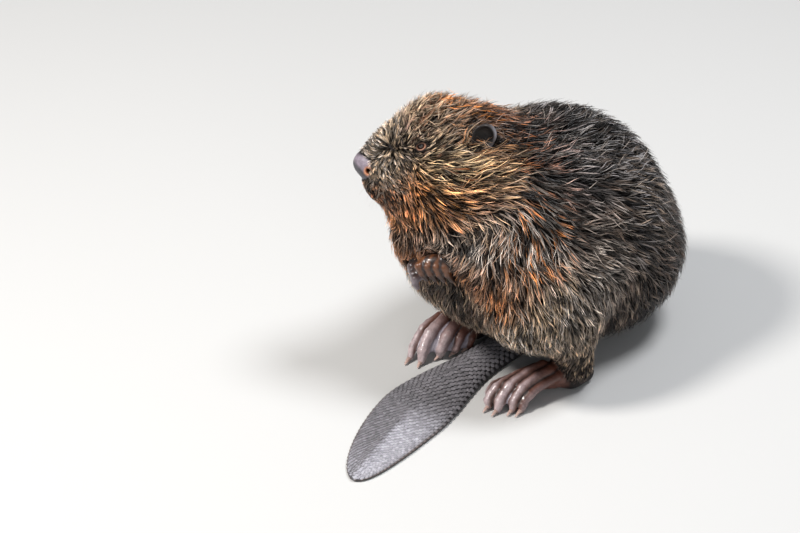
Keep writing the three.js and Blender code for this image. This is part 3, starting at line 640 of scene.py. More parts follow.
def skinMaterial():
    material, surface = newMaterial("beaver_skin", 0.5, **{"Specular IOR Level": 0.4, "Coat Roughness": 0.18})
    pores = ranged(material, cellsAt(material, 900), 0, 0.55, 1.12, 0.82)
    grime = worked(material, "MULTIPLY", mottled(material, 160, 4, 0.72, 1.3), pores)
    link(material, scaled(material, painted(material, "skinColour", "Color"), grime), surface, "Base Color")
    link(material, ranged(material, painted(material, "bareShare"), 0, 1, 0.7, 0.42), surface, "Roughness")
    link(material, ranged(material, painted(material, "wetShare"), 0, 1, 0, 0.5), surface, "Coat Weight")
    grain = worked(material, "ADD", worked(material, "MULTIPLY", cellsAt(material, 700), -0.7),
                   worked(material, "MULTIPLY", noiseAt(material, 420, 5), 0.9))
    wrinkles = worked(material, "MULTIPLY", noiseAt(material, 260, 2, stretch=(0.35, 1, 1)), 0.8)
    bumped(material, surface, worked(material, "ADD", grain, wrinkles), 0.0005, 0.55)
    return material


def coatMaterial(name, roughness, shine):
    gloss = {"Specular IOR Level": shine, "Coat Weight": shine * 0.8, "Coat Roughness": 0.25}
    material, surface = newMaterial(name, roughness, **gloss)
    streak = mottled(material, 900, 2, 0.78, 1.24)
    link(material, scaled(material, painted(material, "coatColour", "Color"), streak), surface, "Base Color")
    return material


def eyeMaterial():
    material, surface = newMaterial("beaver_eye", 0.08, **{"Specular IOR Level": 0.6, "Coat Weight": 1.0,
                                                          "Coat Roughness": 0.02})
    colour = node(material, "ShaderNodeRGB")
    colour.outputs[0].default_value = (*eye["colour"], 1)
    iris = scaled(material, colour.outputs[0], mottled(material, 500, 3, 0.4, 1.6))
    link(material, iris, surface, "Base Color")
    return material


def clawMaterial(name, light, dark):
    material, surface = newMaterial(name, 0.34, **{"Coat Weight": 0.3, "Coat Roughness": 0.15})
    streaks = worked(material, "MULTIPLY", noiseAt(material, 500, 3), 0.5)
    share = worked(material, "ADD", painted(material, "clawShare"), streaks)
    fade = node(material, "ShaderNodeMix", {"Factor": share, 6: (*dark, 1), 7: (*light, 1)}, data_type="RGBA")
    link(material, fade.outputs[2], surface, "Base Color")
    bumped(material, surface, noiseAt(material, 700, 3), 0.0004, 0.6)
    return material


def tailMaterial():
    material, surface = newMaterial("tail_leather", 0.5, **{"Specular IOR Level": 0.5, "Coat Weight": 0.2,
                                                           "Coat Roughness": 0.25})
    mottle = mottled(material, 300, 4, 0.7, 1.25)
    link(material, scaled(material, painted(material, "tailColour", "Color"), mottle), surface, "Base Color")
    link(material, mottled(material, 90, 3, 0.36, 0.62), surface, "Roughness")
    bumped(material, surface, noiseAt(material, 1300, 4), 0.0004, 0.7)
    return material


# ---- colours of the skin, and where it is bare

skinColours = dict(
    # The pale foot colour is a painted highlight.
    underCoat=(0.012, 0.008, 0.007), foot=(0.15, 0.075, 0.060), footHighlight=(0.52, 0.41, 0.42),
    # The dark foot colour is painted shade, in the grooves between digits and fingers and under the feet.
    footBrown=(0.12, 0.038, 0.022), paintedShade=(0.018, 0.009, 0.008), web=(0.36, 0.32, 0.37),
    # The warm hand colour is partly the fingers' own colour and partly a painted sheen.
    hand=(0.040, 0.015, 0.008), handWarmSheen=(0.15, 0.052, 0.018), handFar=(0.22, 0.18, 0.20),
    nose=(0.27, 0.225, 0.27), noseFront=(0.060, 0.055, 0.065), nostrilRim=(0.62, 0.26, 0.13),
    nostril=(0.03, 0.008, 0.006),
    # The ear rim colour is a painted highlight.
    earInside=(0.010, 0.008, 0.008), earEdge=(0.030, 0.022, 0.020), earRimHighlight=(0.27, 0.255, 0.275),
    lid=(0.40, 0.19, 0.12), lidUpper=(0.13, 0.06, 0.035), lip=(0.035, 0.02, 0.018),
)
mouth = dict(place=(60, -38), slope=0.34, hinge=28, full=40, half=1.2)
padRegion = headOval((93, 0, 1.5), (19.5, 23, 16))


def shareOf(group, points, furred, width=5):
    return smoothStep(furred - groupDistance(group, points), -width, width)


def paint(colours, share, key):
    colours += (np.array(skinColours[key]) - colours) * share[:, None]


# Each of the next functions paints one bare part and returns where it is bare.
def paintFeet(colours, points, furred):
    x, y, z = points.T
    soleShare = shareOf(bareGroup["soles"], points, furred, 7)
    digitShare = shareOf(bareGroup["digits"], points, furred)
    share = np.maximum(soleShare, digitShare) * smoothStep(-y - 0.25 * np.maximum(x - 80, 0), 36, 50)
    perDigit = len(footShape["stops"]) - 1
    ways = np.stack([groupDistance(dict(shapes=digits[n:n + perDigit], soft=1), points)
                     for n in range(0, len(digits), perDigit)])
    ways = np.sort(ways, axis=0)[:2]
    between = ways[1] - ways[0]      # nothing in the groove between two digits, most on top of one
    webShare = smoothStep(ways[0] - groupDistance(bareGroup["webs"], points), -0.3, 1.2)
    paint(colours, share, "foot")
    ends = smoothStep(-y, 56, 104)
    paint(colours, share * (1 - ends) * 0.8, "footBrown")
    # Painted highlight: the tops of the digits towards their ends are painted pale.
    paint(colours, share * ends * smoothStep(between, 2.5, 8) * 0.9, "footHighlight")
    paint(colours, share * smoothStep(x, 68, 84) * 0.5, "footBrown")
    # Painted shade in the grooves between the digits.
    paint(colours, share * smoothStep(between, 3.4, 0.4) * 0.9, "paintedShade")
    paint(colours, share * webShare, "web")
    # Painted shade: darker towards the floor, under the foot.
    paint(colours, share * smoothStep(z, 6, 1) * 0.6, "paintedShade")
    return share


def paintHands(colours, points, furred):
    x, _, z = points.T
    share = shareOf(bareGroup["hands"], points, furred, 3)
    far = (z < 158) & (x < -25)
    ways = np.sort([groupDistance(dict(shapes=f, soft=1), points) for f in fingerGroups], axis=0)
    onTop = smoothStep(ways[1] - ways[0], 1.2, 3.6)
    paint(colours, share, "hand")
    # The tops of the near hand's upper fingers are painted warm brown, partly their own colour and partly a
    # painted sheen.
    paint(colours, share * ~far * onTop * smoothStep(z, 156, 168), "handWarmSheen")
    paint(colours, share * far * smoothStep(z, 158, 149), "handFar")
    # Painted shade in the grooves between the fingers.
    paint(colours, share * (1 - onTop) * smoothStep(5 - ways[0], 0, 2) * 0.85, "paintedShade")
    return share


def paintNose(colours, points, local):
    share = smoothStep(-distanceTo(padRegion, points), -0.8, 0.8)
    paint(colours, share, "nose")
    paint(colours, share * smoothStep(0.75 * local[:, 0] - 0.66 * local[:, 2], 70.5, 75), "noseFront")
    away = groupDistance(hollows["nostrils"], points)
    paint(colours, share * smoothStep(3.4 - away, 0, 2.2), "nostrilRim")
    inside = nose["nostril"][1] - 0.4 - np.abs(local[:, 1])
    paint(colours, share * smoothStep(0.5 - away, 0, 0.4) * smoothStep(inside, 0, 1.4), "nostril")
    return share


def paintEars(colours, points, local):
    share = smoothStep(2 - groupDistance(bareGroup["ears"], points), 0, 2)
    inside = smoothStep(1.2 - groupDistance(hollows["ears"], points), 0, 1.2)
    middle = np.where(local[:, 1] > 0, ear["places"][0][2], ear["places"][1][2])
    # Painted highlight: the rim at the rear and below is painted pale grey outside the hollow.
    rim = np.maximum(smoothStep(-local[:, 0], 50, 57), smoothStep(middle - local[:, 2], 7, 13))
    paint(colours, share, "earEdge")
    paint(colours, share * (1 - inside) * rim, "earRimHighlight")
    paint(colours, share * inside, "earInside")
    return share


def paintLids(colours, points, local):
    away = groupDistance(hollows["eyes"], points)
    share = smoothStep(1.7 - away, 0, 1.1) * smoothStep(eyeOffset(local), 9.0, 7.4)
    upper = smoothStep(local[:, 2] - eye["place"][2] + 0.25 * (local[:, 0] - eye["place"][0]), 0.4, 2.4)
    paint(colours, share, "lid")
    paint(colours, share * upper, "lidUpper")
    return share


def paintMouth(colours, local):
    away = np.abs((local[:, 0] - mouth["place"][0]) * mouth["slope"] + local[:, 2] - mouth["place"][1])
    ahead = smoothStep(local[:, 0], mouth["hinge"], mouth["full"])
    paint(colours, smoothStep(mouth["half"] + 1 - away, 0, 1) * ahead, "lip")


# The skin's colours, how bare it is and how wet.
def skinLook(points):
    points = points.astype(np.float32)
    furred, local = fleshDistance(points), toHead(points)
    colours = np.tile(skinColours["underCoat"], (len(points), 1))
    feetShare = paintFeet(colours, points, furred)
    handShare = paintHands(colours, points, furred)
    faceShares = [paintOne(colours, points, local) for paintOne in (paintNose, paintEars, paintLids)]
    paintMouth(colours, local)
    return colours, np.max([feetShare, handShare, *faceShares], axis=0), np.maximum(feetShare, handShare)


def eyeOffset(local):
    f, _, u = eye["place"]
    return np.hypot(local[:, 0] - f, local[:, 2] - u)


# ---- build the skin

print("skin: sampling")
values, gridLow = sampledSkin(skinGrid["cell"])
finePoints, fineQuads = gridSurface(values, gridLow, skinGrid["cell"])
print("skin: surface of", len(fineQuads), "quads")
fineBare = skinLook(finePoints)[1]
rough = pieceFrom("roughSkin", meshFrom("roughSkin", finePoints, fineQuads))
keep = rough.vertex_groups.new(name="furred")
levels = np.round(1 - fineBare, 1)
for level in np.unique(levels):
    keep.add(np.nonzero(levels == level)[0].tolist(), float(level), "REPLACE")
thin = rough.modifiers.new("thin", "DECIMATE")
thin.ratio = skinGrid["triangles"] / (2 * len(fineQuads))
thin.vertex_group = keep.name
thin.vertex_group_factor = skinGrid["keepBare"]
skinMesh = evaluatedMesh(rough)
bpy.data.objects.remove(rough)
skinMesh.name = "skin"
skinMesh.polygons.foreach_set("use_smooth", np.ones(len(skinMesh.polygons), bool))
colours, bareShare, wetShare = skinLook(pointsOf(skinMesh))
setColours(skinMesh, "skinColour", colours)
setShare(skinMesh, "bareShare", bareShare)
setShare(skinMesh, "wetShare", wetShare)
skin = pieceFrom("skin", skinMesh, skinMaterial())
print("skin: faces", len(skinMesh.polygons))
middleNodes = ("head", "lower_jaw", "nose_pad", "neck", "chest", "abdomen", "rump", "tail_base")
sideParts = ("upper_arm", "forearm", "hand", "thigh", "shank", "hind_foot", "ear")
sideNodes = [f"{part}_{side}" for part in sideParts for side in ("left", "right")]
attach(skin, "root")
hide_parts(*middleNodes, *sideNodes)


# ---- eyes

def eyeball(side):
    f, l, u = eye["place"]
    r = eye["radius"] - eye["ballGap"]
    rings = []
    around = np.linspace(0, 2 * math.pi, eye["sides"], endpoint=False)
    for angle in np.linspace(0.02, math.pi - 0.02, eye["rings"]):
        bulge = 1 + eye["bulge"] * math.exp(-((angle / eye["bulgeAngle"]) ** 2))
        out, ring = math.cos(angle) * bulge, math.sin(angle)
        places = [(r * ring * math.cos(a), side * r * out, r * ring * math.sin(a)) for a in around]
        rings.append([onHead((f, side * l, u) + vec(*p)) for p in places])
    return lofted(rings)


eyeFinish = eyeMaterial()
for name, side in (("left", 1), ("right", -1)):
    ball = pieceFrom(f"eyeball_{name}", meshFrom(f"eyeball_{name}", *eyeball(side)), eyeFinish)
    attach(ball, "root")
    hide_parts(f"eye_{name}")
print("eyes: done")


# ---- claws

clawLook = dict(sides=14, rings=10, hindArch=0.9, handArch=0.4, inside=1.2, taper=0.8, taperPower=1.6,
                wide=1.05, above=0.85, below=0.55,
                hindLight=(0.52, 0.36, 0.31), hindDark=(0.16, 0.09, 0.075),
                handLight=(0.30, 0.15, 0.07), handDark=(0.03, 0.016, 0.012))


def clawShape(end, tip, radius, arch):
    along = unit(tip - end)
    across = unit(np.cross(along, vec(0, 0, 1)))
    over = np.cross(across, along)
    start = end - along * radius * clawLook["inside"]
    angles = np.linspace(0, 2 * math.pi, clawLook["sides"], endpoint=False)
    aside = (np.cos(angles) * clawLook["wide"])[:, None] * across
    height = np.sin(angles)
    rise = (height * np.where(height > 0, clawLook["above"], clawLook["below"]))[:, None] * over
    rings, shares = [], []
    for n in range(clawLook["rings"]):
        t = n / (clawLook["rings"] - 1)
        middle = mix(start, tip, t) + over * arch * math.sin(math.pi * t)
        size = radius * (1 - clawLook["taper"] * t ** clawLook["taperPower"])
        rings.append(middle + (aside + rise) * size)
        shares += [t] * clawLook["sides"]
    points, faces = lofted(rings)
    points[:, 2] = np.maximum(points[:, 2], 0.05)
    return points, faces, shares + [0, 1]


def clawPiece(name, claws, material, nodes):
    points, faces = joinedParts([c[:2] for c in claws])
    mesh = meshFrom(name, points, faces)
    setShare(mesh, "clawShare", np.concatenate([c[2] for c in claws]))
    piece = pieceFrom(name, mesh, material)
    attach(piece, "root")
    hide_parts(*nodes)


hindFinish = clawMaterial("hind_claw_horn", clawLook["hindLight"], clawLook["hindDark"])
handFinish = clawMaterial("hand_claw_horn", clawLook["handLight"], clawLook["handDark"])
for name in ("left", "right"):
    ends = [hindDigit(digit) for digit in feet[name]["digits"]]
    claws = [clawShape(d["end"], d["tip"], footShape["clawRadius"], clawLook["hindArch"]) for d in ends]
    clawPiece(f"hind_claws_{name}", claws, hindFinish, [f"hind_claw_{name}_{n}" for n in range(1, 6)])
    tips = [fingerPlaces(hands[name], n)[-1] for n in range(finger["count"])]
    reach = unit(hands[name]["curl"]) * finger["clawLength"]
    claws = [clawShape(tip, tip + reach, finger["clawRadius"], clawLook["handArch"]) for tip in tips]
    clawPiece(f"hand_claws_{name}", claws, handFinish, [f"hand_claw_{name}_{n}" for n in range(1, 5)])
print("claws: done")


# ---- tail: a leathery paddle, and its scales set by Geometry Nodes

tail = dict(start=-22, tip=-328, inside=14, rootX=-16, tipBend=47, bendFrom=0.2, rootHalf=24, maxHalf=44,
            widest=0.55, rootHeight=19, tipHeight=4.5, edge=2.4, ridge=1.7, ridgeHalf=4.5, sag=0.9,
            rings=150, sides=96)
scales = dict(rowPitch=4.4, tipPitch=2.5, across=1.42, overlap=1.28, slant=0.55, size=0.635, height=0.6,
              tipHeight=0.6, topRadius=0.93, footRadius=1.15, sides=6, seed=7, sizeJitter=0.1,
              # The gap colour is partly the skin's dark colour and partly painted shade between the scales.
              colour=(0.20, 0.19, 0.205), pale=(0.40, 0.39, 0.43), gap=(0.018, 0.016, 0.018),
              rim=(0.10, 0.06, 0.04), tint=(0.75, 1.2))


# The tail's half width, middle and height at a share s of its length.
def paddleAt(s):
    widening = mix(tail["rootHalf"], tail["maxHalf"], smoothStep(s, 0.1, tail["widest"]))
    closing = np.maximum((s - tail["widest"]) / (1 - tail["widest"]), 0)
    half = widening * np.sqrt(np.maximum(1 - 0.995 * closing ** 1.5, 0))
    bending = np.maximum((s - tail["bendFrom"]) / (1 - tail["bendFrom"]), 0)
    x = tail["rootX"] + tail["tipBend"] * bending ** 1.8
    height = mix(tail["rootHeight"], tail["tipHeight"], np.minimum(np.maximum(s, 0) * 1.25, 1) ** 0.8)
    return half, x, height


# A point of the tail's upper side: s along it, v from -1 on the right edge to 1 on the left.
def onTail(s, v):
    half, x, height = paddleAt(s)
    up = np.sqrt(np.maximum(1 - v * v, 0))
    ridge = tail["ridge"] * np.exp(-((v + 0.06) * half / tail["ridgeHalf"]) ** 2)
    ridge = ridge * smoothStep(s, 0.5, 0.75) * smoothStep(s, 1, 0.93)
    sag = tail["sag"] * np.exp(-((np.abs(v) - 0.45) / 0.2) ** 2) * smoothStep(s, 0.3, 0.6)
    z = tail["edge"] + (height - tail["edge"]) * up ** 1.3 + ridge - sag * up
    y = mix(tail["start"], tail["tip"], s) + 0 * v
    return np.stack([x + half * v, y, z], axis=-1)


def tailMeshData():
    rings = []
    angles = np.linspace(0, 2 * math.pi, tail["sides"], endpoint=False)
    up = np.sin(angles)
    along = np.sin(math.pi / 2 * np.linspace(0, 1, tail["rings"])) ** 1.15
    first = -tail["inside"] / (tail["start"] - tail["tip"])
    for s in [first, *along]:
        ring = onTail(s, np.cos(angles))
        low = tail["edge"] * 0.5 * (1 - np.minimum(np.abs(up) * 2, 1)) * smoothStep(np.array(s), -0.04, 0)
        ring[:, 2] = np.where(up >= 0, ring[:, 2], low + 0.02)
        rings.append(ring)
    return lofted(rings)


# The scales' left half is painted pale, a painted highlight on the half that catches the light; they are also
# paler towards the tip, and brown at the rim.
def tailColoursAt(points, base):
    s = (points[:, 1] - tail["start"]) / (tail["tip"] - tail["start"])
    half, x, _ = paddleAt(np.clip(s, 0, 1))
    v = (points[:, 0] - x) / np.maximum(half, 1)
    # Painted highlight on the left half of the tail.
    paintedLitHalf = smoothStep(s, 0.45, 0.72) * smoothStep(v, -0.1, 0.12) * smoothStep(v, 1.02, 0.8)
    tipPale = smoothStep(s, 0.78, 1.0) * 0.5
    colours = mix(np.array(base), np.array(scales["pale"]), np.maximum(paintedLitHalf, tipPale)[:, None])
    rim = smoothStep(np.abs(v), 0.93, 1.0)[:, None] * smoothStep(s, 0.4, 0.7)[:, None]
    return mix(colours, np.array(scales["rim"]), rim * 0.8)


# Where the scales go: rows along the tail, each set half a scale over from the last.
def scaleSpots():
    spots, normals, alongs, sizes = [], [], [], []
    length = tail["start"] - tail["tip"]
    y, row = 1.5, 0
    while y < length - 1.5:
        s = y / length
        pitch = mix(scales["rowPitch"], scales["tipPitch"], smoothStep(np.array(s), 0.35, 1.0))
        half = paddleAt(np.array(s))[0]
        wide = pitch * scales["across"]
        count = max(int(half * 2.06 / wide), 2)
        shares = (np.arange(count) + 0.5 + (0.25 if row % 2 else -0.25)) / count
        v = np.clip((shares * 2 - 1) * 0.995, -0.985, 0.985)
        slant = s + scales["slant"] * pitch / length * np.sin(v * 2.5)
        here = onTail(slant, v)
        dv = onTail(slant, np.clip(v + 0.01, -1, 1)) - onTail(slant, v - 0.01)
        ds = onTail(slant + 0.002, v) - onTail(slant - 0.002, v)
        spots.append(here)
        normals.append(unit(np.cross(dv, ds)) * -1)
        alongs.append(unit(ds))
        size = half * 2 / count, pitch * scales["overlap"], scales["height"] * mix(1, scales["tipHeight"], s)
        sizes.append(np.tile(np.array(size, float), (count, 1)))
        y += pitch
        row += 1
    return (np.concatenate(a) for a in (spots, normals, alongs, sizes))


# A new Geometry Nodes tree with these named inputs: the tree, its modifier values and the outputs of its
# input node.
def treeWith(name, **wanted):
    tree = bpy.data.node_groups.new(name, "GeometryNodeTree")
    tree.interface.new_socket("Geometry", in_out="INPUT", socket_type="NodeSocketGeometry")
    values = {}
    for label, value in wanted.items():
        kind = "NodeSocketInt" if isinstance(value, int) else "NodeSocketFloat"
        socket = tree.interface.new_socket(label, in_out="INPUT", socket_type=kind)
        values[socket.identifier] = value
    tree.interface.new_socket("Geometry", in_out="OUTPUT", socket_type="NodeSocketGeometry")
    return tree, values, node(tree, "NodeGroupInput").outputs


def readAttribute(tree, name, kind):
    return node(tree, "GeometryNodeInputNamedAttribute", {"Name": name}, data_type=kind).outputs["Attribute"]


# The end of a tree: instances made real, and the material set.
def endTree(tree, geometry, material, smooth=False):
    shape = node(tree, "GeometryNodeRealizeInstances", {"Geometry": geometry}).outputs["Geometry"]
    if smooth:
        shape = node(tree, "GeometryNodeSetShadeSmooth", {"Geometry": shape}).outputs["Geometry"]
    finish = node(tree, "GeometryNodeSetMaterial", {"Geometry": shape, "Material": material})
    node(tree, "NodeGroupOutput", {"Geometry": finish.outputs["Geometry"]})


def scaleTree(material):
    tree, values, given = treeWith("tailScales", scaleSize=scales["size"] * mm,
                                   sizeJitter=float(scales["sizeJitter"]), seed=scales["seed"])
    plate = node(tree, "GeometryNodeMeshCone", {
        "Vertices": scales["sides"], "Radius Top": scales["topRadius"], "Radius Bottom": scales["footRadius"],
        "Depth": 1.0})
    rounded = node(tree, "GeometryNodeSubdivisionSurface", {"Mesh": plate.outputs["Mesh"], "Level": 1})
    least = worked(tree, "SUBTRACT", 1.0, given["sizeJitter"])
    limits = {2: least, 3: 1.0, "Seed": given["seed"]}
    jitter = node(tree, "FunctionNodeRandomValue", limits, data_type="FLOAT")
    size = worked(tree, "MULTIPLY", given["scaleSize"], jitter.outputs[1])
    onPoints = node(tree, "GeometryNodeInstanceOnPoints", {
        "Points": given["Geometry"], "Instance": rounded.outputs["Mesh"],
        "Rotation": readAttribute(tree, "plateTurn", "FLOAT_VECTOR"),
        "Scale": scaled(tree, readAttribute(tree, "plateSize", "FLOAT_VECTOR"), size)})
    endTree(tree, onPoints.outputs["Instances"], material, smooth=True)
    return tree, values


def setVectors(mesh, name, values):
    attribute = mesh.attributes.new(name, "FLOAT_VECTOR", "POINT")
    attribute.data.foreach_set("vector", np.asarray(values, np.float32).ravel())


def makeNodesPiece(name, source, tree, values, material):
    carrier = pieceFrom(name + "Source", source)
    modifier = carrier.modifiers.new("nodes", "NODES")
    modifier.node_group = tree
    for identifier, value in values.items():
        modifier[identifier] = value
    mesh = evaluatedMesh(carrier)
    bpy.data.objects.remove(carrier)
    mesh.name = name
    mesh.materials.clear()
    return pieceFrom(name, mesh, material)


leather = tailMaterial()
tailPoints, tailFaces = tailMeshData()
tailMesh = meshFrom("tail_paddle_skin", tailPoints, tailFaces)
# The paddle's skin shows only between the scales; its near-black there is partly the skin's dark colour and
# partly painted shade in the gaps.
gapColour = np.array(scales["gap"])
setColours(tailMesh, "tailColour", mix(gapColour, tailColoursAt(tailPoints, gapColour), 0.35))
tailPiece = pieceFrom("tail_paddle_skin", tailMesh, leather)
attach(tailPiece, "root")
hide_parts("tail_paddle")

spots, normals, alongs, sizes = scaleSpots()
source = meshFrom("scaleSpots", spots, np.zeros((0, 3), int))
turns = [Matrix(np.stack([np.cross(a, n), a, n], 1).tolist()).to_euler() for a, n in zip(alongs, normals)]
setVectors(source, "plateTurn", [tuple(t) for t in turns])
setVectors(source, "plateSize", sizes)
scalePiece = makeNodesPiece("tail_scales", source, *scaleTree(leather), leather)
scalePoints = pointsOf(scalePiece.data)
tint = np.repeat(random.uniform(*scales["tint"], len(spots)), len(scalePoints) // len(spots))
setColours(scalePiece.data, "tailColour", tailColoursAt(scalePoints, scales["colour"]) * tint[:, None])
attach(scalePiece, "root")
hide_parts("tail_paddle")
print("tail:", len(spots), "scales")


# ---- coat: how it lies, how long it is and its colours, from named zones that melt together

brown, black, dark = (0.10, 0.062, 0.045), (0.007, 0.0055, 0.005), (0.036, 0.026, 0.021)
greyBrown, tan, straw = (0.25, 0.19, 0.145), (0.52, 0.38, 0.25), (0.80, 0.57, 0.32)
rust, orange, flame = (0.38, 0.125, 0.040), (0.74, 0.26, 0.055), (1.0, 0.37, 0.06)
grey, pale = (0.26, 0.245, 0.245), (0.58, 0.51, 0.45)

# place, reach, lie, length, lift, width, tip colour, second tip colour and its share
headZones = dict(
    nape=((-62, 0, 34), 34, (-1, 0, -0.15), 24, 0.9, 1.5, dark, rust, 0.3),
    crownBack=((-36, 0, 34), 26, (-0.9, 0, 0.42), 19, 1.45, 1.15, rust, orange, 0.4),
    crown=((-8, 0, 36), 22, (-0.75, 0, 0.65), 17, 1.6, 1.05, tan, orange, 0.5),
    brow=((22, 12, 38), 20, (-0.8, 0, 0.5), 14, 1.45, 0.9, tan, rust, 0.3),
    templeHigh=((-8, 32, 26), 20, (-0.95, 0, 0.2), 15, 1.0, 1.0, brown, tan, 0.4),
    eyeRing=((27, 32, 22), 11, (-1, 0, 0.1), 4.5, 0.5, 0.6, tan, dark, 0.5),
    eyeBack=((10, 38, 18), 15, (-1, 0, 0.05), 11, 0.7, 0.85, tan, dark, 0.45),
    bridge=((58, 0, 34), 20, (0.2, 0, 0.4), 9, 1.2, 0.75, tan, pale, 0.35),
    noseTop=((82, 0, 20), 14, (0.3, 0, 0.9), 8, 1.1, 0.6, greyBrown, pale, 0.4),
    muzzle=((70, 24, -2), 17, (-0.3, 0, -1), 6, 0.7, 0.65, tan, pale, 0.4),
    lip=((76, 20, -28), 15, (-0.3, 0, -1), 5, 0.6, 0.6, rust, dark, 0.4),
    upperCheek=((22, 42, 0), 16, (-1, 0, -0.25), 17, 0.8, 0.95, straw, brown, 0.4),
    cheek=((0, 50, -8), 24, (-1, 0, -0.06), 33, 0.85, 1.1, straw, rust, 0.2),
    cheekBack=((-32, 52, -10), 24, (-1, 0, 0.02), 30, 0.85, 1.15, straw, rust, 0.35),
    jowlFront=((46, 30, -34), 21, (-0.85, 0, -0.5), 13, 1.0, 0.9, flame, orange, 0.35),
    jowl=((12, 42, -38), 23, (-0.95, 0, -0.25), 24, 0.9, 1.1, flame, rust, 0.35),
    jowlBack=((-26, 46, -44), 22, (-0.9, 0, -0.3), 27, 0.85, 1.2, rust, straw, 0.45),
    throatSide=((10, 34, -66), 17, (-0.8, 0, -0.6), 20, 0.9, 1.1, greyBrown, pale, 0.35),
    throatBack=((-30, 46, -62), 22, (-0.85, 0, -0.5), 24, 0.9, 1.2, greyBrown, tan, 0.3),
    chin=((66, 0, -54), 15, (-0.6, 0, -0.8), 9, 1.0, 0.8, flame, rust, 0.35),
    chinSide=((48, 20, -54), 16, (-0.6, 0, -0.8), 13, 1.0, 0.9, flame, rust, 0.3),
    throat=((8, 0, -70), 28, (-0.5, 0, -0.85), 18, 0.9, 1.2, greyBrown, pale, 0.3),
    earFront=((-24, 46, 24), 13, (-0.95, 0.1, 0.15), 18, 1.3, 0.9, brown, orange, 0.3),
    earRear=((-64, 42, 20), 16, (-1, 0, -0.2), 18, 0.9, 1.2, dark, orange, 0.35),
    earBelow=((-44, 50, 4), 13, (-1, 0, -0.25), 20, 0.8, 1.1, rust, straw, 0.3),
)
bodyZones = dict(
    neckSide=((30, -52, 250), 34, (0, 0.5, -0.85), 27, 0.85, 1.4, dark, rust, 0.4),
    neckBack=((-20, -20, 296), 34, (0, 1, -0.1), 26, 0.9, 1.5, dark, rust, 0.2),
    withers=((-10, 30, 292), 46, (0, 1, -0.12), 26, 0.95, 1.5, dark, grey, 0.35),
    backMiddle=((-8, 92, 262), 50, (0, 0.9, -0.42), 27, 1.0, 1.5, dark, grey, 0.4),
    # Down the back and over the rump the tips go near black: partly the coat's own dark colour and partly
    # painted shade on the rear, which is turned away from the light.
    backLow=((-4, 152, 200), 50, (0, 0.55, -0.83), 28, 1.0, 1.5, dark, black, 0.4),
    rumpBack=((0, 188, 120), 50, (0, 0.15, -1), 26, 1.0, 1.5, dark, black, 0.5),
    rumpLow=((0, 176, 40), 40, (0, -0.25, -1), 18, 0.9, 1.4, dark, black, 0.4),
    ribsHigh=((66, -4, 256), 42, (0.1, 0.85, -0.5), 27, 0.9, 1.5, dark, grey, 0.45),
    ribs=((86, 0, 200), 38, (0, 0.75, -0.65), 27, 0.85, 1.45, brown, greyBrown, 0.5),
    flank=((98, 62, 190), 44, (0, 0.85, -0.5), 27, 0.9, 1.5, greyBrown, grey, 0.5),
    # The rear flank and the rump's side are darkened the same way, partly their own colour and partly painted
    # shade.
    flankRear=((100, 122, 140), 44, (0, 0.6, -0.8), 26, 0.95, 1.45, brown, dark, 0.4),
    rumpSide=((92, 140, 70), 44, (0, 0.3, -0.95), 22, 0.95, 1.4, dark, black, 0.4),
    thighTop=((104, -10, 176), 30, (0, 0.8, -0.6), 21, 0.85, 1.0, greyBrown, pale, 0.45),
    thighFront=((96, -86, 150), 30, (0, 0.25, -0.97), 20, 0.85, 0.9, tan, pale, 0.4),
    thigh=((116, -40, 140), 34, (0, 0.32, -0.95), 21, 0.85, 0.95, greyBrown, pale, 0.5),
    thighRear=((116, 24, 116), 32, (0, 0.2, -1), 21, 0.9, 1.05, greyBrown, brown, 0.5),
    thighLow=((112, -40, 92), 28, (0, 0.1, -1), 16, 0.85, 0.85, greyBrown, tan, 0.45),
    kneeFront=((90, -92, 108), 26, (0, 0.2, -1), 15, 0.9, 0.85, tan, pale, 0.4),
    shank=((104, -30, 62), 22, (0, -0.1, -1), 11, 0.85, 0.8, greyBrown, tan, 0.4),
    ankle=((102, -26, 34), 16, (0, -0.35, -0.9), 6, 0.7, 0.75, brown, tan, 0.35),
    instep=((78, -62, 38), 16, (-0.1, -1, -0.2), 3.5, 0.35, 0.6, brown, rust, 0.4),
    throatFront=((-82, -110, 224), 20, (0, -0.2, -1), 17, 0.9, 1.0, pale, greyBrown, 0.45),
    chestFront=((-58, -128, 214), 34, (0, -0.1, -1), 18, 0.9, 1.0, pale, greyBrown, 0.45),
    chestLow=((-30, -118, 168), 30, (0, 0.1, -1), 18, 0.9, 1.0, greyBrown, tan, 0.35),
    belly=((-10, -106, 116), 34, (0, 0.1, -1), 16, 0.9, 0.95, brown, tan, 0.3),
    bellyEdge=((10, -88, 72), 28, (0, 0, -1), 17, 0.9, 0.85, tan, brown, 0.5),
    tailTop=((-14, 10, 36), 26, (0, -0.95, -0.3), 11, 0.8, 1.0, brown, dark, 0.5),
)
armZones = dict(
    shoulder=((62, -74, 218), 30, (0, 0.2, -0.98), 28, 0.9, 1.3, pale, orange, 0.35),
    upperArm=((64, -98, 188), 26, (0, 0.1, -1), 28, 0.9, 1.25, greyBrown, orange, 0.5),
    elbow=((56, -118, 164), 20, (-0.25, 0.1, -0.95), 22, 1.1, 1.1, orange, greyBrown, 0.4),
    forearm=((24, -134, 168), 18, (-0.45, 0, -0.9), 17, 1.0, 0.95, rust, orange, 0.45),
    wrist=((6, -142, 182), 12, (-0.7, -0.5, -0.4), 8, 0.7, 0.8, brown, rust, 0.4),
)
middleX = -10      # the trunk is even about this plane


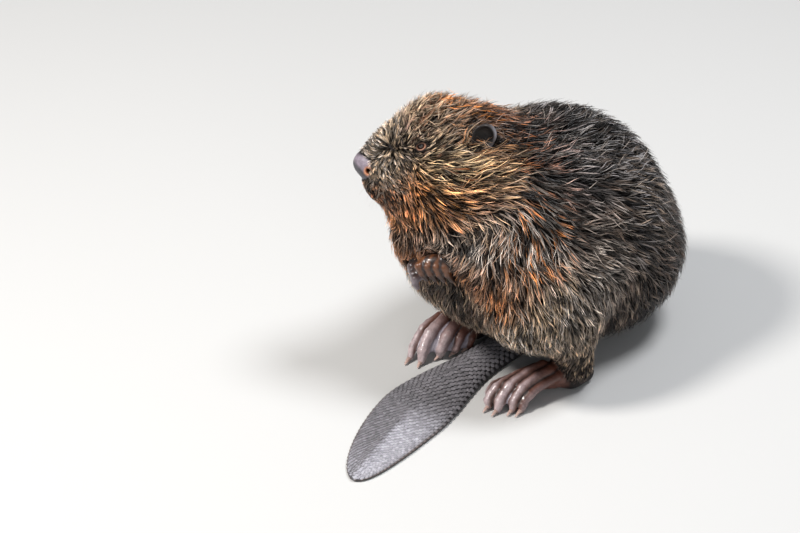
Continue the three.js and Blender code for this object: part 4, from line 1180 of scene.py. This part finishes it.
def zoneRows():
    rows = []
    for place, *rest in headZones.values():
        reach, lie, *finish = rest
        for side in (1, -1):
            spot = onHead((place[0], side * place[1], place[2]))
            rows.append((spot, reach, headAxes @ vec(lie[0], side * lie[1], lie[2]), *finish))
    for place, reach, lie, *finish in [*bodyZones.values(), *armZones.values()]:
        for side in (1, -1):
            spot = vec(middleX + side * (place[0] - middleX), place[1], place[2])
            rows.append((spot, reach, vec(side * lie[0], lie[1], lie[2]), *finish))
    return rows


def coatAt(points):
    rows = zoneRows()
    total = np.zeros(len(points))
    lie, numbers = np.zeros((len(points), 3)), np.zeros((len(points), 4))
    first, second = np.zeros((len(points), 3)), np.zeros((len(points), 3))
    for spot, reach, direction, length, lift, width, tip, other, share in rows:
        away = np.linalg.norm(points - spot, axis=1)
        weight = np.exp(-((away / reach) ** 2)) / reach + 1e-9 / (1 + away ** 2)
        total += weight
        lie += weight[:, None] * unit(direction)
        numbers += weight[:, None] * np.array((length, lift, width, share))
        first += weight[:, None] * np.array(tip)
        second += weight[:, None] * np.array(other)
    numbers /= total[:, None]
    return dict(lie=lie, length=numbers[:, 0], lift=numbers[:, 1], width=numbers[:, 2], share=numbers[:, 3],
                tip=first / total[:, None], other=second / total[:, None])


whorl = dict(place=(60, 22, 22), reach=24)


# The hair in front of the eye turns out from one point on each side.
def whorlLie(points, lie):
    for place in bothSides(whorl["place"]):
        away = points - onHead(place)
        pull = np.exp(-((np.linalg.norm(away, axis=1) / whorl["reach"]) ** 2))[:, None]
        lie = mix(unit(lie), unit(away), pull)
    return lie


# Three kinds of tuft: a dark bed below, strands that gather into locks, and stray long guard hairs.
coat = dict(count=89000, headShare=1.5, jitter=0.8, lockSpacing=4.6, lockNear=14, angle=0.15, matting=1.6,
            wave=0.035, bend=0.1, lengthRange=(0.65, 1.2), liftRange=(0.45, 1.15), widthRange=(0.65, 1.3),
            thick=0.5, rootDepth=0.8, rootBright=0.014, eyeRoom=5.7, eyeRoomBelow=0.6, handRoom=1.6,
            patch=0.003, proxyFaces=9000, mostTriangles=198000)
# The bed's near-black is partly the underfur's own colour and partly painted shade in the gaps between the
# locks.
kinds = [
    dict(share=0.44, width=1.7, length=0.7, lift=0.45, bright=0.05, pull=0.0, stray=0.1,
         rings=(0, 0.5, 1), swell=(0.8, 1.0, 0)),
    dict(share=0.43, width=0.78, length=1.15, lift=0.95, bright=1.5, pull=1.0, stray=0.03,
         rings=(0, 0.25, 0.5, 0.78, 1), swell=(0.7, 1.0, 0.85, 0.5, 0)),
    dict(share=0.13, width=0.5, length=1.35, lift=1.25, bright=1.5, pull=0.25, stray=0.22,
         rings=(0, 0.25, 0.5, 0.78, 1), swell=(0.7, 1.0, 0.85, 0.5, 0)),
]

print("coat: roots")
normalsOf = nearSkin(finePoints)[1]
depth = -fleshDistance(finePoints.astype(np.float32), True)
look = coatAt(finePoints)
# finer hair stands closer together, and closest on the head
wanted = np.clip(1 - fineBare * 1.5, 0, 1) / np.maximum(look["width"] * look["length"], 2.0) ** 0.8
wanted *= np.where(groupDistance(fleshGroup["head"], finePoints) < 4, coat["headShare"], 1)
fingersAway = groupDistance(dict(shapes=sum(fingerGroups, []), soft=1), finePoints)
wanted *= smoothStep(fingersAway, 5, 13)
wanted[(finePoints[:, 2] < 1.5) & (normalsOf[:, 2] < -0.5)] = 0
wanted[depth < 0.4] = 0
chance = wanted / wanted.sum() * coat["count"]
picked = np.repeat(np.arange(len(finePoints)), np.floor(chance + random.random(len(chance))).astype(int))
roots = finePoints[picked] + random.normal(0, coat["jitter"], (len(picked), 3))
here, slope = nearSkin(roots)
roots = roots - slope / np.maximum(dots(slope, slope), 0.2)[:, None] * here[:, None]
rootNormals = unit(nearSkin(roots)[1])
look = coatAt(roots)
depth = np.maximum(-fleshDistance(roots.astype(np.float32), True), 1.0)
shares = np.cumsum([k["share"] for k in kinds])
kindOf = np.searchsorted(shares / shares[-1], random.random(len(roots)))
print("coat:", len(roots), "tufts")


# A value of each tuft's kind, for every tuft.
def ofKind(key):
    return np.array([k[key] for k in kinds])[kindOf]


def tangent(directions, normals):
    return unit(directions - dots(directions, normals)[:, None] * normals)


# Broad waves in the way the hair lies, in radians.
def swayAt(points):
    x, y, z = points.T
    return 0.22 * np.sin(x * 0.11 + 1.3) * np.sin(y * 0.09) + 0.18 * np.sin(z * 0.13 + y * 0.05)


lie = tangent(whorlLie(roots, look["lie"]), rootNormals)
sideways = np.cross(rootNormals, lie)
matting = 1 + coat["matting"] * smoothStep(look["lift"], 1.1, 1.5)
angle = random.normal(0, 1, len(roots)) * (coat["angle"] + ofKind("stray")) * matting + swayAt(roots)
lie = lie * np.cos(angle)[:, None] + sideways * np.sin(angle)[:, None]
sideways = np.cross(rootNormals, lie)
handAway = groupDistance(bareGroup["hands"], roots)
lengths = look["length"] * random.uniform(*coat["lengthRange"], len(roots)) * ofKind("length")
lengths *= 0.2 + 0.8 * smoothStep(handAway, 3, 22)     # short round the hands
lifts = look["lift"] * random.uniform(*coat["liftRange"], len(roots)) * ofKind("lift")
lifts = np.where(look["lift"] > 1.25, np.minimum(lifts, 1.9), np.minimum(lifts, 1.35))
bends = random.normal(0, coat["bend"], len(roots)) * lengths
phases = roots @ vec(0.19, 0.23, 0.17) + random.normal(0, 0.5, len(roots))
widths = look["width"] * ofKind("width") * random.uniform(*coat["widthRange"], len(roots))


# The middle line of each chosen tuft, held off the skin at a height that grows towards the tip.
def tuftPaths(chosen, rings):
    path = []
    for t in rings:
        if t == 0:
            path.append(roots[chosen] - rootNormals[chosen] * coat["rootDepth"])
            continue
        swerve = bends * t * t + coat["wave"] * lengths * np.sin(phases + 2 * math.pi * t) * t
        p = roots[chosen] + (lie * (lengths * t)[:, None] + sideways * swerve[:, None])[chosen]
        height = (depth * lifts * (0.22 + 0.78 * t ** 0.9))[chosen]
        for _ in range(3):
            away, slope = nearSkin(p)
            lift = np.clip(height - away, -9, 9) / np.maximum(dots(slope, slope), 0.3)
            p = p + slope * lift[:, None]
        p[:, 2] = np.maximum(p[:, 2], 0.5)
        path.append(p)
    return np.stack(path, axis=1)


# The nearest leader of a lock for every root; leaders are strands, about one to each lock.
def lockLeaders():
    leaders = {}
    keys = np.floor(roots / (coat["lockSpacing"] * look["width"])[:, None]).astype(int)
    for n in random.permutation(np.nonzero(kindOf == 1)[0]):
        leaders.setdefault(tuple(keys[n]), n)
    tree = KDTree(len(leaders))
    for n in leaders.values():
        tree.insert(roots[n] + lie[n] * 2, n)
    tree.balance()
    return np.array([tree.find(root)[1] for root in roots])


leaderOf = lockLeaders()
longOnes = np.nonzero(kindOf > 0)[0]
bed = np.nonzero(kindOf == 0)[0]
longRings = np.array(kinds[1]["rings"])
longPaths = np.zeros((len(roots), len(longRings), 3))
longPaths[longOnes] = tuftPaths(longOnes, longRings)
leaderPaths = longPaths[leaderOf[longOnes]]
pull = (ofKind("pull") * random.uniform(0.6, 1.2, len(roots)))[longOnes, None] * longRings ** 0.8
close = np.linalg.norm(longPaths[longOnes, -1] - leaderPaths[:, -1], axis=1) < coat["lockNear"]
pull = np.minimum(pull, 0.93) * close[:, None]
longPaths[longOnes] = mix(longPaths[longOnes], leaderPaths, pull[:, :, None])
bedPaths = tuftPaths(bed, kinds[0]["rings"])
print("coat: paths")


# Which of these paths keep clear of the eyes and the hands.
def clearOf(path):
    body = path[:, 1:].reshape(-1, 3)
    local = toHead(body)
    out = np.abs(local[:, 1]) - eye["place"][1]
    near = (out > -eye["radius"]) & (out < 3 * eye["radius"])
    near &= eyeOffset(local + vec(0, 0, coat["eyeRoomBelow"])) < coat["eyeRoom"]
    near |= groupDistance(bareGroup["hands"], body) < coat["handRoom"]
    return ~near.reshape(len(path), -1).any(axis=1)


# Colours: one shade and one brightness to a lock; the tufts at a lock's edge are painted darker and those at
# its middle lighter, painted shade between the locks and a painted highlight on their crests.
lockShade = random.uniform(0, 1, len(roots))[leaderOf]
ownShade = random.uniform(0, 1, len(roots))
useOther = (0.6 * lockShade + 0.4 * ownShade) < look["share"]
tips = np.where(useOther[:, None], look["other"], look["tip"])
lockBright = 0.05 + 2.2 * random.uniform(0, 1, len(roots))[leaderOf] ** 2.3
bright = lockBright * random.uniform(0.75, 1.25, len(roots))
# Painted shade at a lock's edge, painted highlight at its middle.
fromLeader = np.linalg.norm(roots[longOnes] - roots[leaderOf[longOnes]], axis=1)
bright[longOnes] *= 1.15 - 0.3 * np.minimum(fromLeader / 5, 1.5)
bright *= ofKind("bright")
tips = np.where((kindOf == 2)[:, None], mix(tips, np.array(pale), 0.25), tips) * bright[:, None]
rootColours = np.minimum(mix(tips, np.array(black), 0.9), coat["rootBright"])


# ---- unwrap of the skin, for the place of each tuft's colours

def unwrapped(points, faces, name):
    proxy = pieceFrom(name, meshFrom(name, points, faces))
    proxy.data.uv_layers.new(name="OFBake")
    bpy.context.view_layer.objects.active = proxy
    for other in bpy.context.selected_objects:
        other.select_set(False)
    proxy.select_set(True)
    bpy.ops.object.mode_set(mode="EDIT")
    bpy.ops.mesh.select_all(action="SELECT")
    bpy.ops.uv.smart_project(angle_limit=math.radians(66), island_margin=0.002)
    bpy.ops.object.mode_set(mode="OBJECT")
    uv = np.empty(len(proxy.data.loops) * 2, np.float32)
    proxy.data.uv_layers["OFBake"].data.foreach_get("uv", uv)
    bpy.data.objects.remove(proxy)
    return uv.reshape(-1, 3, 2)


# Where each target lies on an unwrap of these faces.
def placesOnUnwrap(targets, points, faces, name):
    used, compact = np.unique(faces, return_inverse=True)
    points, faces = points[used], compact.reshape(-1, 3)
    uv = unwrapped(points, faces, name)
    tree = BVHTree.FromPolygons(points.tolist(), faces.tolist())
    found = np.empty((len(targets), 2))
    for n, target in enumerate(targets):
        spot, _, index, _ = tree.find_nearest(target)
        a, b, c = points[faces[index]]
        ab, ac, ap = b - a, c - a, np.array(spot) - a
        d = (ab @ ab) * (ac @ ac) - (ab @ ac) ** 2 + 1e-12
        v = ((ac @ ac) * (ap @ ab) - (ab @ ac) * (ap @ ac)) / d
        w = ((ab @ ab) * (ap @ ac) - (ab @ ac) * (ap @ ab)) / d
        found[n] = uv[index, 0] * (1 - v - w) + uv[index, 1] * v + uv[index, 2] * w
    return found


# ---- tufts: closed three-sided blades

def tuftPiece(name, path, chosen, kind, uvPlaces, material):
    count, rings = path.shape[:2]
    ahead = np.empty_like(path)
    ahead[:, :-1] = path[:, 1:] - path[:, :-1]
    ahead[:, -1] = ahead[:, -2]
    ahead = unit(ahead)
    up = rootNormals[chosen][:, None, :]
    across = unit(np.cross(ahead, up))
    over = np.cross(across, ahead)
    half = widths[chosen, None] / 2 * np.array(kind["swell"])
    body = path[:, :-1]
    a, o, h = across[:, :-1], over[:, :-1], half[:, :-1, None]
    ring = np.stack([body - a * h, body + a * h, body + o * h * 2 * coat["thick"]], axis=2)
    points = np.concatenate([ring.reshape(count, -1, 3), path[:, -1:]], axis=1)
    points[:, :, 2] = np.maximum(points[:, :, 2], 0.05)
    each = points.shape[1]
    faces = [(1, 0, 2)]
    for r in range(rings - 2):
        for s in range(3):
            p, q = r * 3 + s, r * 3 + (s + 1) % 3
            faces += [(p, q, q + 3), (p, q + 3, p + 3)]
    last = (rings - 2) * 3
    faces += [(last + s, last + (s + 1) % 3, each - 1) for s in range(3)]
    faces = np.array(faces)
    allFaces = (faces[None] + (np.arange(count) * each)[:, None, None]).reshape(-1, 3)
    mesh = meshFrom(name, points.reshape(-1, 3), allFaces)
    t = np.array([*np.repeat(kind["rings"][:-1], 3), 1])
    fade = smoothStep(t, 0.1, 0.75)[None, :, None]
    colours = mix(rootColours[chosen][:, None, :], tips[chosen][:, None, :], fade)
    setColours(mesh, "coatColour", colours.reshape(-1, 3))
    s = np.array([0, 1, 0.5] * (rings - 1) + [0.5])
    patch = (np.stack([s, t], 1) - 0.5) * coat["patch"]
    vertexUv = np.clip(uvPlaces[:, None, :] + patch[None], 0, 1).reshape(-1, 2)
    layer = mesh.uv_layers.new(name="OFBake")
    layer.data.foreach_set("uv", vertexUv[allFaces.ravel()].astype(np.float32).ravel())
    piece = pieceFrom(name, mesh, material)
    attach(piece, "root")
    return piece


# A coarse copy of the skin carries the unwrap.
proxyThin = pieceFrom("proxy", skinMesh.copy())
thin = proxyThin.modifiers.new("thin", "DECIMATE")
thin.ratio = coat["proxyFaces"] / len(skinMesh.polygons)
proxyMesh = evaluatedMesh(proxyThin)
bpy.data.objects.remove(proxyThin)
proxyPoints = pointsOf(proxyMesh)
proxyMesh.calc_loop_triangles()
proxyFaces = np.empty(len(proxyMesh.loop_triangles) * 3, np.int32)
proxyMesh.loop_triangles.foreach_get("vertices", proxyFaces)
proxyFaces = proxyFaces.reshape(-1, 3)
proxyMiddles = proxyPoints[proxyFaces].mean(axis=1)


# Which family of the coat a place belongs to: 0 head, 1 trunk and 2 limbs.
def familyOf(points):
    points = points.astype(np.float32)
    headAway, neckAway, trunkAway, *limbsAway = (groupDistance(group, points) for group in flesh)
    return np.argmin([headAway - 2, np.minimum(neckAway, trunkAway), np.min(limbsAway, axis=0)], axis=0)


bedFinish, strandFinish = coatMaterial("beaver_underfur", 0.7, 0.08), coatMaterial("beaver_coat", 0.32, 0.32)
rootFamily, faceFamily = familyOf(roots), familyOf(proxyMiddles)
strands, guards = (np.nonzero(kindOf == number)[0] for number in (1, 2))
batches = [
    ("bed", kinds[0], bed, bedPaths, bedFinish),
    ("strand", kinds[1], strands, longPaths[strands], strandFinish),
    ("guard", kinds[2], guards, longPaths[guards], strandFinish),
]
total = 0
families = (("head", "coat_face"), ("trunk", "coat_dark"), ("limbs", "coat"))
for family, (label, slotName) in enumerate(families):
    familyFaces = proxyFaces[faceFamily == family]
    for kindLabel, kind, members, path, finish in batches:
        chosen = (rootFamily[members] == family) & clearOf(path)
        members, path = members[chosen], path[chosen]
        uvPlaces = placesOnUnwrap(roots[members], proxyPoints, familyFaces, "unwrap_" + label)
        each = 6 * len(kind["rings"]) - 8
        pieces = math.ceil(len(members) * each / coat["mostTriangles"])
        for n in range(pieces):
            part = slice(n, None, pieces)
            name = f"coat_{label}_{kindLabel}_{n + 1}"
            piece = tuftPiece(name, path[part], members[part], kind, uvPlaces[part], finish)
        total += len(members) * each
    print("coat:", label, "done,", total, "triangles so far")


# ---- whiskers, swept along their lines by Geometry Nodes

whiskers = dict(count=20, low=(66, -30), high=(86, -6), out=24, rooted=1.5, lengths=(20, 42), farShare=0.5,
                thick=0.22, taper=0.85, joints=8, droop=0.3, lie=(-0.25, 1, -0.1), spread=0.35, fan=1.6,
                fanMiddle=0.45, sides=5, colour=(0.30, 0.24, 0.19))


def whiskerLines():
    spots, edges, thickness = [], [], []
    for side in (1, -1):
        for _ in range(whiskers["count"]):
            share = random.random(2)
            f, u = np.array(whiskers["low"]) + (np.array(whiskers["high"]) - whiskers["low"]) * share
            root = onHead((f, side * whiskers["out"], u))
            for _ in range(6):
                away, slope = (found[0] for found in nearSkin(root[None]))
                root = root - unit(slope) * (away + whiskers["rooted"])
            lie = vec(*whiskers["lie"]) * (1, side, 1) + random.normal(0, whiskers["spread"], 3)
            way = headAxes @ unit(lie + vec(whiskers["fan"] * (share[0] - whiskers["fanMiddle"]), 0, 0))
            length = random.uniform(*whiskers["lengths"]) * (1 if side > 0 else whiskers["farShare"])
            first = len(spots)
            for n in range(whiskers["joints"]):
                t = n / (whiskers["joints"] - 1)
                spots.append(root + way * length * t - vec(0, 0, whiskers["droop"] * length * t * t))
                thickness.append(whiskers["thick"] * mm * (1 - whiskers["taper"] * t))
            edges += [(first + n, first + n + 1) for n in range(whiskers["joints"] - 1)]
    mesh = bpy.data.meshes.new("whiskerLines")
    mesh.from_pydata(placed(spots).tolist(), edges, [])
    setShare(mesh, "hairRadius", thickness)
    return mesh


def whiskerTree(material):
    tree, values, given = treeWith("whiskers", sides=whiskers["sides"])
    curve = node(tree, "GeometryNodeMeshToCurve", {"Mesh": given["Geometry"]})
    ring = node(tree, "GeometryNodeCurvePrimitiveCircle", {"Radius": 1.0, "Resolution": given["sides"]})
    sweep = node(tree, "GeometryNodeCurveToMesh", {
        "Curve": curve.outputs["Curve"], "Profile Curve": ring.outputs["Curve"],
        "Scale": readAttribute(tree, "hairRadius", "FLOAT"), "Fill Caps": True})
    endTree(tree, sweep.outputs["Mesh"], material)
    return tree, values


whiskerFinish, whiskerSurface = newMaterial("whisker_hair", 0.35)
whiskerSurface.inputs["Base Color"].default_value = (*whiskers["colour"], 1)
whiskerPiece = makeNodesPiece("whiskers", whiskerLines(), *whiskerTree(whiskerFinish), whiskerFinish)
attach(whiskerPiece, "root")
print("whiskers: done")


# ---- floor, lights and camera

studio = dict(
    floor=(0.56, 0.555, 0.545), floorSize=14, floorHeight=-0.0004, world=(0.88, 0.93, 1.0),
    worldStrength=0.21, middle=(0, -0.02, 0.15),
    lights=dict(     # place, size, power and colour
        key=((-0.9, -1.5, 2.3), 0.6, 84, (1.0, 0.97, 0.93)),
        top=((0.6, 0.7, 2.6), 0.9, 58, (0.95, 0.97, 1.0)),
        fill=((2.2, -1.6, 1.2), 1.6, 14, (0.97, 0.98, 1.0)),
    ),
)
view = dict(azimuth=43, elevation=33, distance=4000, right=-149.5, up=90.3, lens=156.5)


def addFloor():
    bpy.ops.mesh.primitive_plane_add(size=studio["floorSize"], location=(0, 0, studio["floorHeight"]))
    floor = bpy.context.active_object
    floor.name = "floor"
    material, surface = newMaterial("pale_floor", 0.7)
    surface.inputs["Base Color"].default_value = (*studio["floor"], 1)
    floor.data.materials.append(material)


def addLight(name, place, size, power, colour):
    light = bpy.data.lights.new(name, "AREA")
    light.shape, light.size, light.energy, light.color = "DISK", size, power, colour
    lamp = bpy.data.objects.new(name, light)
    bpy.context.scene.collection.objects.link(lamp)
    lamp.location = place
    lamp.rotation_euler = (Vector(studio["middle"]) - Vector(place)).to_track_quat("-Z", "Y").to_euler()


def addCamera():
    a, e = math.radians(view["azimuth"]), math.radians(view["elevation"])
    right = vec(math.cos(a), math.sin(a), 0)
    up = vec(-math.sin(a) * math.sin(e), math.cos(a) * math.sin(e), math.cos(e))
    back = vec(math.sin(a) * math.cos(e), -math.cos(a) * math.cos(e), math.sin(e))
    place = placed(right * view["right"] + up * view["up"] + back * view["distance"])
    camera = bpy.data.objects.new("camera", bpy.data.cameras.new("camera"))
    camera.data.lens, camera.data.sensor_width = view["lens"], 36
    camera.data.clip_start, camera.data.clip_end = 0.1, 40
    bpy.context.scene.collection.objects.link(camera)
    turn = Matrix(np.stack([right, up, back], 1).tolist()).to_4x4()
    camera.matrix_world = Matrix.Translation(place.tolist()) @ turn
    bpy.context.scene.camera = camera


addFloor()
for name, light in studio["lights"].items():
    addLight(name, *light)
world = bpy.data.worlds.new("studio")
world.use_nodes = True
sky = world.node_tree.nodes["Background"].inputs
sky["Color"].default_value = (*studio["world"], 1)
sky["Strength"].default_value = studio["worldStrength"]
bpy.context.scene.world = world
bpy.context.scene.view_settings.view_transform = "Standard"
addCamera()
print("studio: done")
